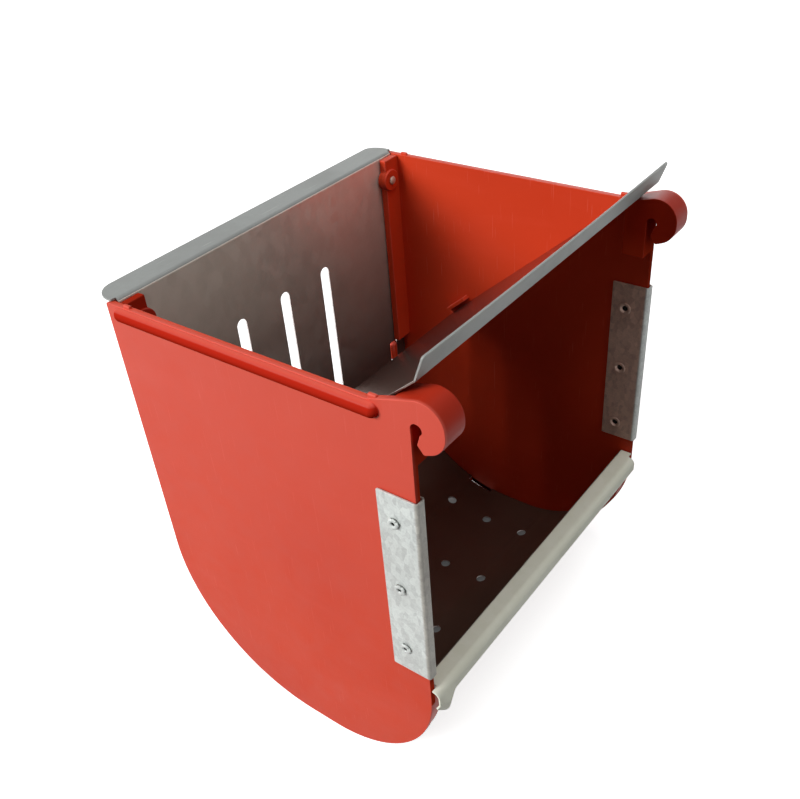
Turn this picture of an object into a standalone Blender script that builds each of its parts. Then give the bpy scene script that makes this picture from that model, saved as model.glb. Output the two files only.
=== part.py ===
"""Hanging feed hopper for a cage front, as an assembly of separate pieces.

Two moulded side panels with snap hooks hold a folded back, floor and lip sheet
and a sloping baffle sheet. Channel guards cover the panels' front edges.

The pieces are drawn in a drawing frame: X across, Y = 0 at the panels' front
edges and growing to the back, Z = 0 at the panels' top edges. The parent empty
moves that frame so that the world origin is at the centre of the underside.
"""

import math

import bmesh
import bpy
from mathutils import Matrix, Vector

MM = 0.001

# Overall sizes
BODY_WIDTH = 150.0 * MM  # over the flat outer faces of the side panels
BODY_DEPTH = 120.5 * MM  # side panel, front edge to back edge
BODY_HEIGHT = 165.5 * MM  # side panel, top edge to underside
FRONT_ARC_RADIUS = 49.0 * MM  # lower front corner of the side panel
FLOOR_FLAT = 11.5 * MM  # level stretch of the side panel's underside

# Stock and clearances
PANEL_THICKNESS = 2.2 * MM
SHEET_THICKNESS = 0.6 * MM
FIT_GAP = 0.3 * MM  # between pieces that touch
SHEET_SIDE_PLAY = 0.5 * MM  # trough sheet edge to panel inner face
BAFFLE_SIDE_PLAY = 0.8 * MM  # baffle edge to panel inner face
WELD_DEPTH = 1.0 * MM  # how far a rib's root reaches into the wall it grows from
STAGGER = 0.1 * MM  # keeps the faces of joined shapes out of one plane

# Hook that clips over a cage wire
HOOK_WIDTH = 9.2 * MM  # across, from the panel's outer face inwards
HOOK_OUTER_RADIUS = 7.7 * MM
HOOK_CENTRE = (-3.2 * MM, -2.8 * MM)
HOOK_TOP_SLOPE = 16.5  # degrees, the rise from the panel's top edge
HOOK_NOSE = (-8.9 * MM, 7.0 * MM)  # height of the nose's corner, and its radius
HOOK_TIP = (-3.9 * MM, -11.7 * MM, 0.6 * MM)
HOOK_CATCH_DROP = 4.8 * MM  # seat centre down to the narrowest point of the throat
HOOK_CATCH_RADIUS = 0.7 * MM
HOOK_THROAT = 1.8 * MM
WIRE_SEAT_RADIUS = 1.8 * MM
WIRE_SEAT_HEIGHT = -4.3 * MM
HOOK_BLOCK_BOTTOM = -18.0 * MM
HOOK_BLOCK_DEPTH = 8.4 * MM

# Baffle, the sloping front wall of the hopper
BAFFLE_BEND = (-0.1 * MM, 8.4 * MM)
BAFFLE_LOWER_EDGE = (85.9 * MM, -65.4 * MM)
BAFFLE_FLANGE_LEAN = 3.0 * MM
BAFFLE_FLANGE_HEIGHT = 8.1 * MM
BAFFLE_BEND_RADIUS = 1.5 * MM
BAFFLE_CORNER_RADIUS = 2.5 * MM

# Guide ribs moulded on the inner faces of the panels
GUIDE_RIB_HEIGHT = 3.5 * MM
GUIDE_RIB_THICKNESS = 1.7 * MM
BAFFLE_GROOVE_ABOVE = 1.7 * MM  # sheet middle up to the upper rib
UPPER_RIB_START = 90.0 * MM  # along the slope from the bend
LOWER_RIB_START = 6.0 * MM
REAR_RIB_INNER_REACH = 8.3 * MM  # panel inner face to the rib's free edge
REAR_RIB_THICKNESS = 3.0 * MM
REAR_RIB_END_GAP = 1.0 * MM  # rib's lower end to the catch's window
OUTER_RIB_THICKNESS = 2.1 * MM
OUTER_RIB_INSET = 0.3 * MM
OUTER_RIB_TOP = -0.5 * MM

# Bead along the top edge of each panel's outer face, and the two small nibs on the top edge
BEAD_RADIUS = 2.5 * MM
BEAD_DROP = 2.7 * MM
BEAD_FRONT = 10.0 * MM
BEAD_BACK_INSET = 4.5 * MM
FRONT_NIB_PLACE = 12.4 * MM
FRONT_NIB_HEIGHT = 1.6 * MM
REAR_NIB_INSET = 9.6 * MM
REAR_NIB_HEIGHT = 0.9 * MM
NIB_LENGTH = 3.0 * MM
NIB_THICKNESS = 1.3 * MM

# Trough sheet: top flange, back wall, floor, front wall and rolled lip
BACK_SHEET_INSET = OUTER_RIB_INSET + OUTER_RIB_THICKNESS + FIT_GAP + SHEET_THICKNESS / 2
FRONT_SHEET_INSET = 4.5 * MM
TOP_FLANGE_DEPTH = 10.9 * MM
TOP_FLANGE_CORNER = 8.0 * MM
SHEET_BEND_RADIUS = 1.2 * MM
LIP_RISE = 54.5 * MM  # lip's flat above the panels' underside
LIP_REACH = 3.3 * MM  # in front of the panels' front edges
LIP_ROLL_START = 0.6 * MM
LIP_TOP_RADIUS = 2.6 * MM
LIP_FOLD_DROP = 5.4 * MM
LIP_FOLD_RADIUS = 1.4 * MM
LIP_EDGE_REACH = 1.2 * MM  # free edge of the lip, in front of the panels' front edges
LIP_EDGE_DROP = 9.0 * MM
LIP_CORNER_RADIUS = 3.0 * MM
LIP_RIGHT_SETBACK = 5.5 * MM  # right panel's outer face to the lip's right end

# Openings in the trough sheet
SLOT_WIDTH = 5.0 * MM
SLOT_PITCH = 24.0 * MM
SLOT_TOP = -31.0 * MM
SLOT_END_RISE = 6.5 * MM  # above the place where the back wall starts to curve
DRAIN_HOLE_RADIUS = 2.0 * MM
DRAIN_PITCH_X = 35.0 * MM
DRAIN_COLUMNS = 4
DRAIN_ROWS = (40.6 * MM, 59.6 * MM, 79.3 * MM)
EDGE_DRAIN = (68.9 * MM, 80.9 * MM)  # front and back of the drain beside each panel
EDGE_DRAIN_WIDTH = 2.3 * MM
WINDOW_RISE = 8.5 * MM  # above the place where the back wall starts to curve
WINDOW_HEIGHT = 10.5 * MM
WINDOW_WIDTH = 5.0 * MM
WINDOW_EDGE_INSET = 5.7 * MM  # sheet edge to the window
CATCH_CLEARANCE = 0.5 * MM
CATCH_PROUD = 1.0 * MM

# Rivets through the back sheet at its upper corners
RIVET_INSET = 5.8 * MM  # panel inner face to the rivet's axis
RIVET_HEIGHT = -9.0 * MM
RIVET_SHANK_RADIUS = 1.0 * MM
RIVET_HEAD_RADIUS = 1.7 * MM
RIVET_HEAD_HEIGHT = 0.8 * MM
RIVET_BOSS_RADIUS = 4.5 * MM
RIVET_BOSS_PROUD = 1.0 * MM

# Channel guards over the panels' front edges, and their eyelets
GUARD_TOP = -29.6 * MM
RIGHT_GUARD_DROP = 3.2 * MM  # right guard's top and eyelets, below the left one's
GUARD_LIP_GAP = 6.9 * MM  # guard's lower end to the lip's flat
GUARD_LEG = 13.4 * MM  # panel front edge to the leg's back edge
GUARD_WEB_GAP = 0.5 * MM  # web to the panel's front edge
GUARD_BEND_RADIUS = 0.8 * MM
EYELET_SETBACK = 7.7 * MM  # behind the panel's front edge
EYELET_END_DISTANCE = 10.4 * MM  # from each end of the guard
EYELET_BARREL_RADIUS = 1.5 * MM
EYELET_BORE_RADIUS = 1.0 * MM
EYELET_HEAD_RADIUS = 2.5 * MM
EYELET_WALL = 0.4 * MM
EYELET_PETALS = 6

ARC_STEP = 7.5  # degrees between the points of a drawn arc
ROUND_SEGMENTS = 24

# Places worked out from the sizes above
PANEL_OUTER = BODY_WIDTH / 2
PANEL_INNER = PANEL_OUTER - PANEL_THICKNESS
SHEET_HALF = SHEET_THICKNESS / 2
SHEET_EDGE = PANEL_INNER - SHEET_SIDE_PLAY
BACK_ARC_RADIUS = BODY_DEPTH - FRONT_ARC_RADIUS - FLOOR_FLAT
BACK_ARC_TOP = BACK_ARC_RADIUS - BODY_HEIGHT
BACK_SHEET_Y = BODY_DEPTH - BACK_SHEET_INSET
TOP_FLANGE_Z = FIT_GAP + SHEET_HALF
LIP_HEIGHT = LIP_RISE - BODY_HEIGHT
LIP_EDGE = (-LIP_EDGE_REACH, LIP_HEIGHT - LIP_EDGE_DROP)
SLOT_BOTTOM = BACK_ARC_TOP + SLOT_END_RISE
WINDOW_TOP = BACK_ARC_TOP + WINDOW_RISE + WINDOW_HEIGHT
GUARD_BOTTOM = LIP_HEIGHT + GUARD_LIP_GAP
EYELET_PITCH = (GUARD_TOP - GUARD_BOTTOM) / 2 - EYELET_END_DISTANCE
RIVET_X = PANEL_INNER - RIVET_INSET
REAR_RIB_BACK = BACK_SHEET_Y - SHEET_HALF - FIT_GAP
REAR_RIB_FRONT = REAR_RIB_BACK - REAR_RIB_THICKNESS
REAR_RIB_BOTTOM = WINDOW_TOP + REAR_RIB_END_GAP
RIVET_BOSS_FRONT = REAR_RIB_FRONT - RIVET_BOSS_PROUD
OUTER_RIB_FRONT = BACK_SHEET_Y + SHEET_HALF + FIT_GAP
OUTER_RIB_BACK = BODY_DEPTH - OUTER_RIB_INSET
WINDOW_OUTER = SHEET_EDGE - WINDOW_EDGE_INSET
WINDOW_INNER = WINDOW_OUTER - WINDOW_WIDTH
SLOPE_RUN = BAFFLE_LOWER_EDGE[0] - BAFFLE_BEND[0]
SLOPE_FALL = BAFFLE_BEND[1] - BAFFLE_LOWER_EDGE[1]
SLOPE_LENGTH = math.hypot(SLOPE_RUN, SLOPE_FALL)
SLOPE_ANGLE = math.atan2(SLOPE_FALL, SLOPE_RUN)
FOREMOST = HOOK_CENTRE[0] - HOOK_OUTER_RADIUS
HINDMOST = BACK_SHEET_Y + TOP_FLANGE_DEPTH
WORLD_SHIFT = (0.0, -(FOREMOST + HINDMOST) / 2, BODY_HEIGHT)

RED_PLASTIC = ("red_plastic", (0.60, 0.05, 0.03, 1.0), 0.38, 0.0)
ZINC_SHEET = ("zinc_sheet", (0.55, 0.56, 0.54, 1.0), 0.42, 1.0)
BRIGHT_ZINC = ("bright_zinc", (0.72, 0.74, 0.73, 1.0), 0.32, 1.0)


# Outline helpers


def arc(centre, radius, start, end):
    """Points of an arc in the (Y, Z) plane, angles in degrees, both ends included."""
    steps = max(2, math.ceil(abs(end - start) / ARC_STEP))
    points = []
    for step in range(steps + 1):
        angle = math.radians(start + (end - start) * step / steps)
        points.append((centre[0] + radius * math.cos(angle), centre[1] + radius * math.sin(angle)))
    return points


def rounded(corners):
    """An open line through corners of (y, z, radius), each rounded by a tangent arc."""
    points = [corners[0][:2]]
    for before, corner, after in zip(corners, corners[1:], corners[2:]):
        points += rounded_corner(before, corner, after)
    points.append(corners[-1][:2])
    return points


def rounded_corner(before, corner, after):
    """The arc of radius corner[2] that is tangent to both lines at a corner."""
    to_before = (before[0] - corner[0], before[1] - corner[1])
    to_after = (after[0] - corner[0], after[1] - corner[1])
    first = math.atan2(to_before[1], to_before[0])
    second = math.atan2(to_after[1], to_after[0])
    opening = (second - first + math.pi) % (2 * math.pi) - math.pi
    radius = corner[2]
    reach = radius / abs(math.sin(opening / 2))
    middle = first + opening / 2
    centre = (corner[0] + reach * math.cos(middle), corner[1] + reach * math.sin(middle))
    turn = math.copysign(math.pi - abs(opening), opening)
    start = first - math.copysign(math.pi / 2, opening)
    return arc(centre, radius, math.degrees(start), math.degrees(start - turn))


def on_slope(along, above):
    """A (Y, Z) point from its distance down the baffle's slope and its height over the sheet."""
    cosine = math.cos(SLOPE_ANGLE)
    sine = math.sin(SLOPE_ANGLE)
    return (
        BAFFLE_BEND[0] + along * cosine + above * sine,
        BAFFLE_BEND[1] - along * sine + above * cosine,
    )


def hook_tangent():
    """Where the hook's sloping top line meets its outer arc."""
    angle = math.radians(90 - HOOK_TOP_SLOPE)
    return (
        HOOK_CENTRE[0] + HOOK_OUTER_RADIUS * math.cos(angle),
        HOOK_CENTRE[1] + HOOK_OUTER_RADIUS * math.sin(angle),
    )


def hook_root():
    """Where the hook's sloping top line leaves the panel's top edge."""
    tangent = hook_tangent()
    return (tangent[0] + tangent[1] / math.tan(math.radians(HOOK_TOP_SLOPE)), 0.0)


def block_top():
    """Where the hook's top line runs under the baffle, which ends the wide part of the hook."""
    tangent = hook_tangent()
    hook_fall = math.tan(math.radians(HOOK_TOP_SLOPE))
    start = on_slope(0.0, -(SHEET_HALF + FIT_GAP + STAGGER))
    baffle_fall = math.tan(SLOPE_ANGLE)
    rise = start[1] + baffle_fall * start[0] - tangent[1] - hook_fall * tangent[0]
    y = rise / (baffle_fall - hook_fall)
    return (y, tangent[1] - hook_fall * (y - tangent[0]))


def block_rear_top():
    """The wide part's upper rear corner, under the baffle."""
    start = on_slope(0.0, -(SHEET_HALF + FIT_GAP + STAGGER))
    return (HOOK_BLOCK_DEPTH, start[1] - math.tan(SLOPE_ANGLE) * (HOOK_BLOCK_DEPTH - start[0]))


def hook_line():
    """The hook's edge from its top line round the nose and the wire seat to the front edge."""
    seat_centre = (-WIRE_SEAT_RADIUS, WIRE_SEAT_HEIGHT)
    outer = arc(HOOK_CENTRE, HOOK_OUTER_RADIUS, 90 - HOOK_TOP_SLOPE, 180)
    seat = arc(seat_centre, WIRE_SEAT_RADIUS, 235, 0)
    catch = (-HOOK_THROAT, WIRE_SEAT_HEIGHT - HOOK_CATCH_DROP, HOOK_CATCH_RADIUS)
    nose = (FOREMOST, HOOK_NOSE[0], HOOK_NOSE[1])
    tip = rounded([outer[-1], nose, HOOK_TIP, catch, seat[0]])
    return outer[:-1] + tip[:-1] + seat


def panel_line():
    """The panel's edge from under the hook round the bottom and the back to the hook's root."""
    front_centre = (FRONT_ARC_RADIUS, FRONT_ARC_RADIUS - BODY_HEIGHT)
    back_centre = (BODY_DEPTH - BACK_ARC_RADIUS, BACK_ARC_TOP)
    front = arc(front_centre, FRONT_ARC_RADIUS, 180, 270)
    back = arc(back_centre, BACK_ARC_RADIUS, 270, 360)
    return front + back + [(BODY_DEPTH, 0.0), hook_root()]


def sheet_floor_line(offset):
    """The trough's back wall, floor and front wall, moved outwards by offset from mid sheet."""
    back_radius = BACK_ARC_RADIUS - BACK_SHEET_INSET
    front_radius = FRONT_ARC_RADIUS - FRONT_SHEET_INSET
    back_centre = (BACK_SHEET_Y - back_radius, BACK_ARC_TOP)
    floor = BACK_SHEET_INSET - BODY_HEIGHT
    front_centre = (FRONT_SHEET_INSET + front_radius, floor + front_radius)
    back = arc(back_centre, back_radius + offset, 0, -90)
    front = arc(front_centre, front_radius + offset, -90, -180)
    return back + front


# Mesh helpers


def new_face(bm, outline, x):
    """A flat face at X = x with its corners at the outline's (Y, Z) points."""
    return bm.faces.new([bm.verts.new((x, y, z)) for y, z in outline])


def extrude(bm, faces, distance):
    """Draws faces out along X and returns the new faces at the far end."""
    edges = list({edge for face in faces for edge in face.edges})
    drawn = bmesh.ops.extrude_face_region(bm, geom=faces + edges)["geom"]
    verts = [item for item in drawn if isinstance(item, bmesh.types.BMVert)]
    bmesh.ops.translate(bm, verts=verts, vec=(distance, 0.0, 0.0))
    return [item for item in drawn if isinstance(item, bmesh.types.BMFace)]


def prism(outline, x_from, x_to):
    """A closed solid with a (Y, Z) outline, between two places across the feeder."""
    bm = bmesh.new()
    extrude(bm, [new_face(bm, outline, x_from)], x_to - x_from)
    return bm


def box(low, high):
    """A closed box between two corners."""
    outline = [(low[1], low[2]), (high[1], low[2]), (high[1], high[2]), (low[1], high[2])]
    return prism(outline, low[0], high[0])


def rod(centre, radius, length, axis):
    """A closed cylinder centred on a point, along X, Y or Z."""
    turns = {"X": Matrix.Rotation(math.pi / 2, 4, "Y"), "Y": Matrix.Rotation(math.pi / 2, 4, "X")}
    matrix = Matrix.Translation(centre) @ turns.get(axis, Matrix.Identity(4))
    bm = bmesh.new()
    bmesh.ops.create_cone(
        bm, cap_ends=True, segments=ROUND_SEGMENTS, radius1=radius, radius2=radius, depth=length,
        matrix=matrix,
    )
    return bm


def lathe(profile, matrix):
    """Turns a closed (radius, height) profile round Z and places the result."""
    bm = bmesh.new()
    verts = [bm.verts.new((radius, 0.0, height)) for radius, height in profile]
    edges = [bm.edges.new((verts[i - 1], verts[i])) for i in range(len(verts))]
    bmesh.ops.spin(
        bm, geom=verts + edges, cent=(0, 0, 0), axis=(0, 0, 1), angle=2 * math.pi, steps=ROUND_SEGMENTS,
        use_merge=True,
    )
    bmesh.ops.remove_doubles(bm, verts=bm.verts, dist=0.001 * MM)
    bmesh.ops.dissolve_degenerate(bm, edges=bm.edges, dist=0.001 * MM)
    bm.transform(matrix)
    return bm


def folded_strip(line, x_columns, wide_rows):
    """A sheet's middle surface along a (Y, Z) line.

    x_columns are the places across of the outer edge, the inner edge, and the same again on
    the right. Only the stretches of the line named in wide_rows reach the outer edges. The
    first and the last stretch are one face each, so that their corners can be rounded.
    """
    bm = bmesh.new()
    rows = [[bm.verts.new((x, y, z)) for x in x_columns] for y, z in line]
    last = len(rows) - 2
    for index in range(last + 1):
        upper, lower = rows[index], rows[index + 1]
        if index == 0:
            bm.faces.new([upper[0], upper[-1]] + lower[::-1])
            continue
        if index == last:
            bm.faces.new(upper + [lower[-1], lower[0]])
            continue
        first = 0 if index in wide_rows else 1
        for column in range(first, len(x_columns) - 1 - first):
            bm.faces.new((upper[column], upper[column + 1], lower[column + 1], lower[column]))
    loose = [vert for vert in bm.verts if not vert.link_faces]
    bmesh.ops.delete(bm, geom=loose, context="VERTS")
    return bm


def round_corners(bm, wanted, radius, segments=6):
    """Rounds the flat sheet corners for which wanted(vertex) is true."""
    corners = [vert for vert in bm.verts if wanted(vert)]
    bmesh.ops.bevel(
        bm, geom=corners, offset=radius, offset_type="OFFSET", segments=segments, profile=0.5,
        affect="VERTICES", clamp_overlap=True, material=-1,
    )


# Object helpers


def make_material(finish):
    """A Principled material from (name, colour, roughness, metallic), made once."""
    name, colour, roughness, metallic = finish
    known = bpy.data.materials.get(name)
    if known:
        return known
    material = bpy.data.materials.new(name)
    material.use_nodes = True
    shader = material.node_tree.nodes["Principled BSDF"]
    shader.inputs["Base Color"].default_value = colour
    shader.inputs["Roughness"].default_value = roughness
    shader.inputs["Metallic"].default_value = metallic
    material.diffuse_color = colour
    return material


def make_object(name, bm, finish, parent=None):
    """Turns a bmesh into a named object of the scene, with its normals pointing out."""
    bmesh.ops.recalc_face_normals(bm, faces=bm.faces)
    mesh = bpy.data.meshes.new(name)
    bm.to_mesh(mesh)
    bm.free()
    item = bpy.data.objects.new(name, mesh)
    bpy.context.scene.collection.objects.link(item)
    item.parent = parent
    if finish:
        mesh.materials.append(make_material(finish))
    return item


def combine(target, bm, operation):
    """Joins a shape to a target, or cuts it away, with an exact Boolean."""
    tool = make_object("tool", bm, None, target.parent)
    modifier = target.modifiers.new("combine", "BOOLEAN")
    modifier.operation = operation
    modifier.solver = "EXACT"
    modifier.object = tool
    settle(target)
    tool_mesh = tool.data
    bpy.data.objects.remove(tool)
    bpy.data.meshes.remove(tool_mesh)


def settle(item):
    """Replaces an object's mesh by what its modifiers make of it."""
    depsgraph = bpy.context.evaluated_depsgraph_get()
    depsgraph.update()
    old = item.data
    item.data = bpy.data.meshes.new_from_object(item.evaluated_get(depsgraph))
    item.modifiers.clear()
    bpy.data.meshes.remove(old)


def thicken(item):
    """Gives a middle surface the thickness of the sheet."""
    solidify = item.modifiers.new("thickness", "SOLIDIFY")
    solidify.thickness = SHEET_THICKNESS
    solidify.offset = 0.0
    solidify.use_even_offset = True
    settle(item)


def finish_shading(item, name):
    """Shades the round stretches smooth and keeps the true edges sharp."""
    item.data.name = name
    item.data.shade_smooth()
    item.data.set_sharp_from_angle(angle=math.radians(32))


# Side panels


def panel_plate(side):
    """The flat panel with its hook, drawn inwards from the outer face, wide only at the hook."""
    bm = bmesh.new()
    top = block_top()
    low = (0.0, HOOK_BLOCK_BOTTOM)
    rear_top = block_rear_top()
    rear_low = (HOOK_BLOCK_DEPTH, HOOK_BLOCK_BOTTOM)
    outer_x = side * PANEL_OUTER
    shared = [bm.verts.new((outer_x, y, z)) for y, z in (top, low, rear_low, rear_top)]
    hook = [bm.verts.new((outer_x, y, z)) for y, z in hook_line()]
    panel = [bm.verts.new((outer_x, y, z)) for y, z in panel_line()]
    top_vert, low_vert, rear_low_vert, rear_top_vert = shared
    hook_face = bm.faces.new([top_vert] + hook + [low_vert, rear_low_vert, rear_top_vert])
    panel_face = bm.faces.new([low_vert] + panel + [top_vert, rear_top_vert, rear_low_vert])
    inner = extrude(bm, [hook_face, panel_face], -side * PANEL_THICKNESS)
    hook_inner = min(inner, key=lambda face: face.calc_area())
    extrude(bm, [hook_inner], -side * (HOOK_WIDTH - PANEL_THICKNESS))
    return bm


def inward(side, outer, inner):
    """Two places across from distances to the middle, on one side of the feeder."""
    return (side * outer, side * inner)


def wall_root(side, height):
    """Across, from inside the panel's wall to a rib's free edge, height from the inner face."""
    return inward(side, PANEL_INNER + WELD_DEPTH, PANEL_INNER - height)


def edge_bead(side):
    """The half-round stiffening bead on the outer face, with round ends."""
    back = BODY_DEPTH - BEAD_BACK_INSET
    bm = bmesh.new()
    bmesh.ops.create_uvsphere(bm, u_segments=ROUND_SEGMENTS, v_segments=11, radius=BEAD_RADIUS)
    bmesh.ops.rotate(bm, verts=bm.verts, matrix=Matrix.Rotation(math.pi / 2, 3, "X"))
    for vert in bm.verts:
        vert.co.y += (back - BEAD_RADIUS) if vert.co.y > 1e-6 else (BEAD_FRONT + BEAD_RADIUS)
        vert.co.x += side * PANEL_OUTER
        vert.co.z -= BEAD_DROP
    mid_wall = side * (PANEL_OUTER - PANEL_THICKNESS / 2)
    cut = bmesh.ops.bisect_plane(
        bm, geom=bm.verts[:] + bm.edges[:] + bm.faces[:], dist=1e-7,
        plane_co=(mid_wall, 0, 0), plane_no=(-side, 0, 0), clear_outer=True,
    )
    rim = [item for item in cut["geom_cut"] if isinstance(item, bmesh.types.BMEdge)]
    bmesh.ops.contextual_create(bm, geom=rim)
    return bm


def baffle_guide(side):
    """The two ribs that hold the baffle's edge, joined at their lower end as a stop."""
    below = SHEET_HALF + FIT_GAP
    stop = SLOPE_LENGTH + FIT_GAP
    end = stop + GUIDE_RIB_THICKNESS
    above = BAFFLE_GROOVE_ABOVE + GUIDE_RIB_THICKNESS
    corners = [
        (UPPER_RIB_START, above),
        (end, above),
        (end, -below - GUIDE_RIB_THICKNESS),
        (LOWER_RIB_START, -below - GUIDE_RIB_THICKNESS),
        (LOWER_RIB_START, -below),
        (stop, -below),
        (stop, BAFFLE_GROOVE_ABOVE),
        (UPPER_RIB_START, BAFFLE_GROOVE_ABOVE),
    ]
    return prism([on_slope(*corner) for corner in corners], *wall_root(side, GUIDE_RIB_HEIGHT))


def outer_rib(side):
    """The rib behind the back wall and under the floor that the trough sheet's edge lies on."""
    front_centre = (FRONT_ARC_RADIUS, FRONT_ARC_RADIUS - BODY_HEIGHT)
    back_centre = (BODY_DEPTH - BACK_ARC_RADIUS, BACK_ARC_TOP)
    outside = [(OUTER_RIB_BACK, OUTER_RIB_TOP)]
    outside += arc(back_centre, BACK_ARC_RADIUS - OUTER_RIB_INSET, 0, -90)
    outside += arc(front_centre, FRONT_ARC_RADIUS - OUTER_RIB_INSET, -90, -180)
    inside = sheet_floor_line(SHEET_HALF + FIT_GAP)
    inside.insert(0, (OUTER_RIB_FRONT, OUTER_RIB_TOP))
    return prism(outside + inside[::-1], *wall_root(side, GUIDE_RIB_HEIGHT))


def rear_ribs(side):
    """The rib in front of the back sheet, with the bosses that carry the corner rivet."""
    root, edge = wall_root(side, REAR_RIB_INNER_REACH)
    top = OUTER_RIB_TOP + STAGGER
    return [
        box((root, REAR_RIB_FRONT, REAR_RIB_BOTTOM), (edge, REAR_RIB_BACK, top)),
        rivet_boss(side, RIVET_BOSS_FRONT, REAR_RIB_BACK - STAGGER),
        rivet_boss(side, OUTER_RIB_FRONT + STAGGER, OUTER_RIB_BACK - STAGGER),
    ]


def rivet_boss(side, front, back):
    """A round boss about the corner rivet's axis."""
    centre = (side * RIVET_X, (front + back) / 2, RIVET_HEIGHT)
    return rod(centre, RIVET_BOSS_RADIUS, back - front, "Y")


def window_catch(side):
    """The moulded finger behind the back sheet and the tongue that fills the sheet's window."""
    top = WINDOW_TOP - CATCH_CLEARANCE
    bottom = WINDOW_TOP - WINDOW_HEIGHT + CATCH_CLEARANCE
    inner = WINDOW_INNER + CATCH_CLEARANCE
    outer = WINDOW_OUTER - CATCH_CLEARANCE
    finger_front = OUTER_RIB_FRONT + 2 * STAGGER
    finger_back = OUTER_RIB_BACK - 2 * STAGGER
    tongue_front = BACK_SHEET_Y - SHEET_HALF - CATCH_PROUD
    root = wall_root(side, 0.0)[0]
    return [
        box((root, finger_front, bottom), (side * inner, finger_back, top)),
        box((side * outer, tongue_front, bottom + STAGGER),
            (side * (inner + STAGGER), finger_back - STAGGER, top - STAGGER)),
    ]


def edge_nib(side, place, height):
    """A small nib on the top edge, at a place along it."""
    middle = side * (PANEL_OUTER - PANEL_THICKNESS / 2)
    low = (middle - NIB_THICKNESS / 2, place - NIB_LENGTH / 2, -WELD_DEPTH)
    high = (middle + NIB_THICKNESS / 2, place + NIB_LENGTH / 2, height)
    return box(low, high)


def edge_drain_gap(side):
    """The gap in the outer rib under the drain beside the panel."""
    low = (side * PANEL_INNER, EDGE_DRAIN[0] - FIT_GAP, -BODY_HEIGHT - WELD_DEPTH)
    high = (side * (PANEL_INNER - 2 * GUIDE_RIB_HEIGHT), EDGE_DRAIN[1] + FIT_GAP, -BODY_HEIGHT / 2)
    return box(low, high)


def guard_top(side):
    """The height of a guard's upper end."""
    return GUARD_TOP - (RIGHT_GUARD_DROP if side > 0 else 0.0)


def eyelet_heights(side):
    """The heights of a side's eyelets, from the top one down."""
    return [guard_top(side) - EYELET_END_DISTANCE - index * EYELET_PITCH for index in range(3)]


def side_panel(side, name, parent):
    """A moulded side panel with its hook, bead, guide ribs, catch and holes."""
    panel = make_object(name, panel_plate(side), RED_PLASTIC, parent)
    additions = [edge_bead(side), baffle_guide(side), outer_rib(side)]
    additions += rear_ribs(side) + window_catch(side)
    additions.append(edge_nib(side, FRONT_NIB_PLACE, FRONT_NIB_HEIGHT))
    additions.append(edge_nib(side, BODY_DEPTH - REAR_NIB_INSET, REAR_NIB_HEIGHT))
    for addition in additions:
        combine(panel, addition, "UNION")
    cuts = [edge_drain_gap(side)]
    cuts += [eyelet_hole(side, height) for height in eyelet_heights(side)]
    cuts.append(rivet_hole(side))
    for cut in cuts:
        combine(panel, cut, "DIFFERENCE")
    finish_shading(panel, name)
    return panel


def eyelet_hole(side, height):
    """The cutter for an eyelet's hole, through the panel and both legs of the guard."""
    centre = (side * PANEL_OUTER, EYELET_SETBACK, height)
    return rod(centre, EYELET_BARREL_RADIUS + FIT_GAP, 4 * PANEL_THICKNESS, "X")


def rivet_hole(side):
    """The cutter for the corner rivet's hole, through the bosses and the sheet."""
    centre = (side * RIVET_X, BACK_SHEET_Y, RIVET_HEIGHT)
    return rod(centre, RIVET_SHANK_RADIUS + FIT_GAP, 4 * RIVET_BOSS_RADIUS, "Y")


# Sheet pieces


def trough_line():
    """The trough sheet's middle line, and the rows of it that are as wide as the body."""
    flange = rounded([
        (HINDMOST, TOP_FLANGE_Z, 0),
        (BACK_SHEET_Y, TOP_FLANGE_Z, SHEET_BEND_RADIUS),
        (BACK_SHEET_Y, WINDOW_TOP, 0),
    ])[:-1]
    floor = sheet_floor_line(0.0)
    lip_flat = rounded([
        floor[-1] + (0,),
        (FRONT_SHEET_INSET, LIP_HEIGHT, SHEET_BEND_RADIUS),
        (-LIP_ROLL_START, LIP_HEIGHT, 0),
    ])[1:]
    lip_roll = rounded([
        (-LIP_ROLL_START, LIP_HEIGHT, 0),
        (-LIP_REACH, LIP_HEIGHT, LIP_TOP_RADIUS),
        (-LIP_REACH, LIP_HEIGHT - LIP_FOLD_DROP, LIP_FOLD_RADIUS),
        LIP_EDGE,
    ])[1:]
    line = flange + floor + lip_flat + lip_roll
    first_roll_row = len(flange + floor + lip_flat) - 1
    wide_rows = [0] + list(range(first_roll_row, len(line) - 1))
    return line, wide_rows


def trough_openings():
    """The cutters for the slots, drain holes, edge drains, catch windows and rivet holes."""
    cutters = []
    for index in (-1, 0, 1):
        cutters += slot_cutters(index * SLOT_PITCH)
    for column in range(DRAIN_COLUMNS):
        x = (column - (DRAIN_COLUMNS - 1) / 2) * DRAIN_PITCH_X
        for y in DRAIN_ROWS:
            cutters.append(rod((x, y, -BODY_HEIGHT), DRAIN_HOLE_RADIUS, BODY_HEIGHT / 2, "Z"))
    for side in (-1, 1):
        cutters.append(box(
            (side * (SHEET_EDGE + WELD_DEPTH), EDGE_DRAIN[0], -BODY_HEIGHT),
            (side * (SHEET_EDGE - EDGE_DRAIN_WIDTH), EDGE_DRAIN[1], -BODY_HEIGHT / 2),
        ))
        cutters.append(box(
            (side * WINDOW_OUTER, REAR_RIB_BACK, WINDOW_TOP - WINDOW_HEIGHT),
            (side * WINDOW_INNER, OUTER_RIB_BACK, WINDOW_TOP),
        ))
        cutters.append(rivet_hole(side))
    return cutters


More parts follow.
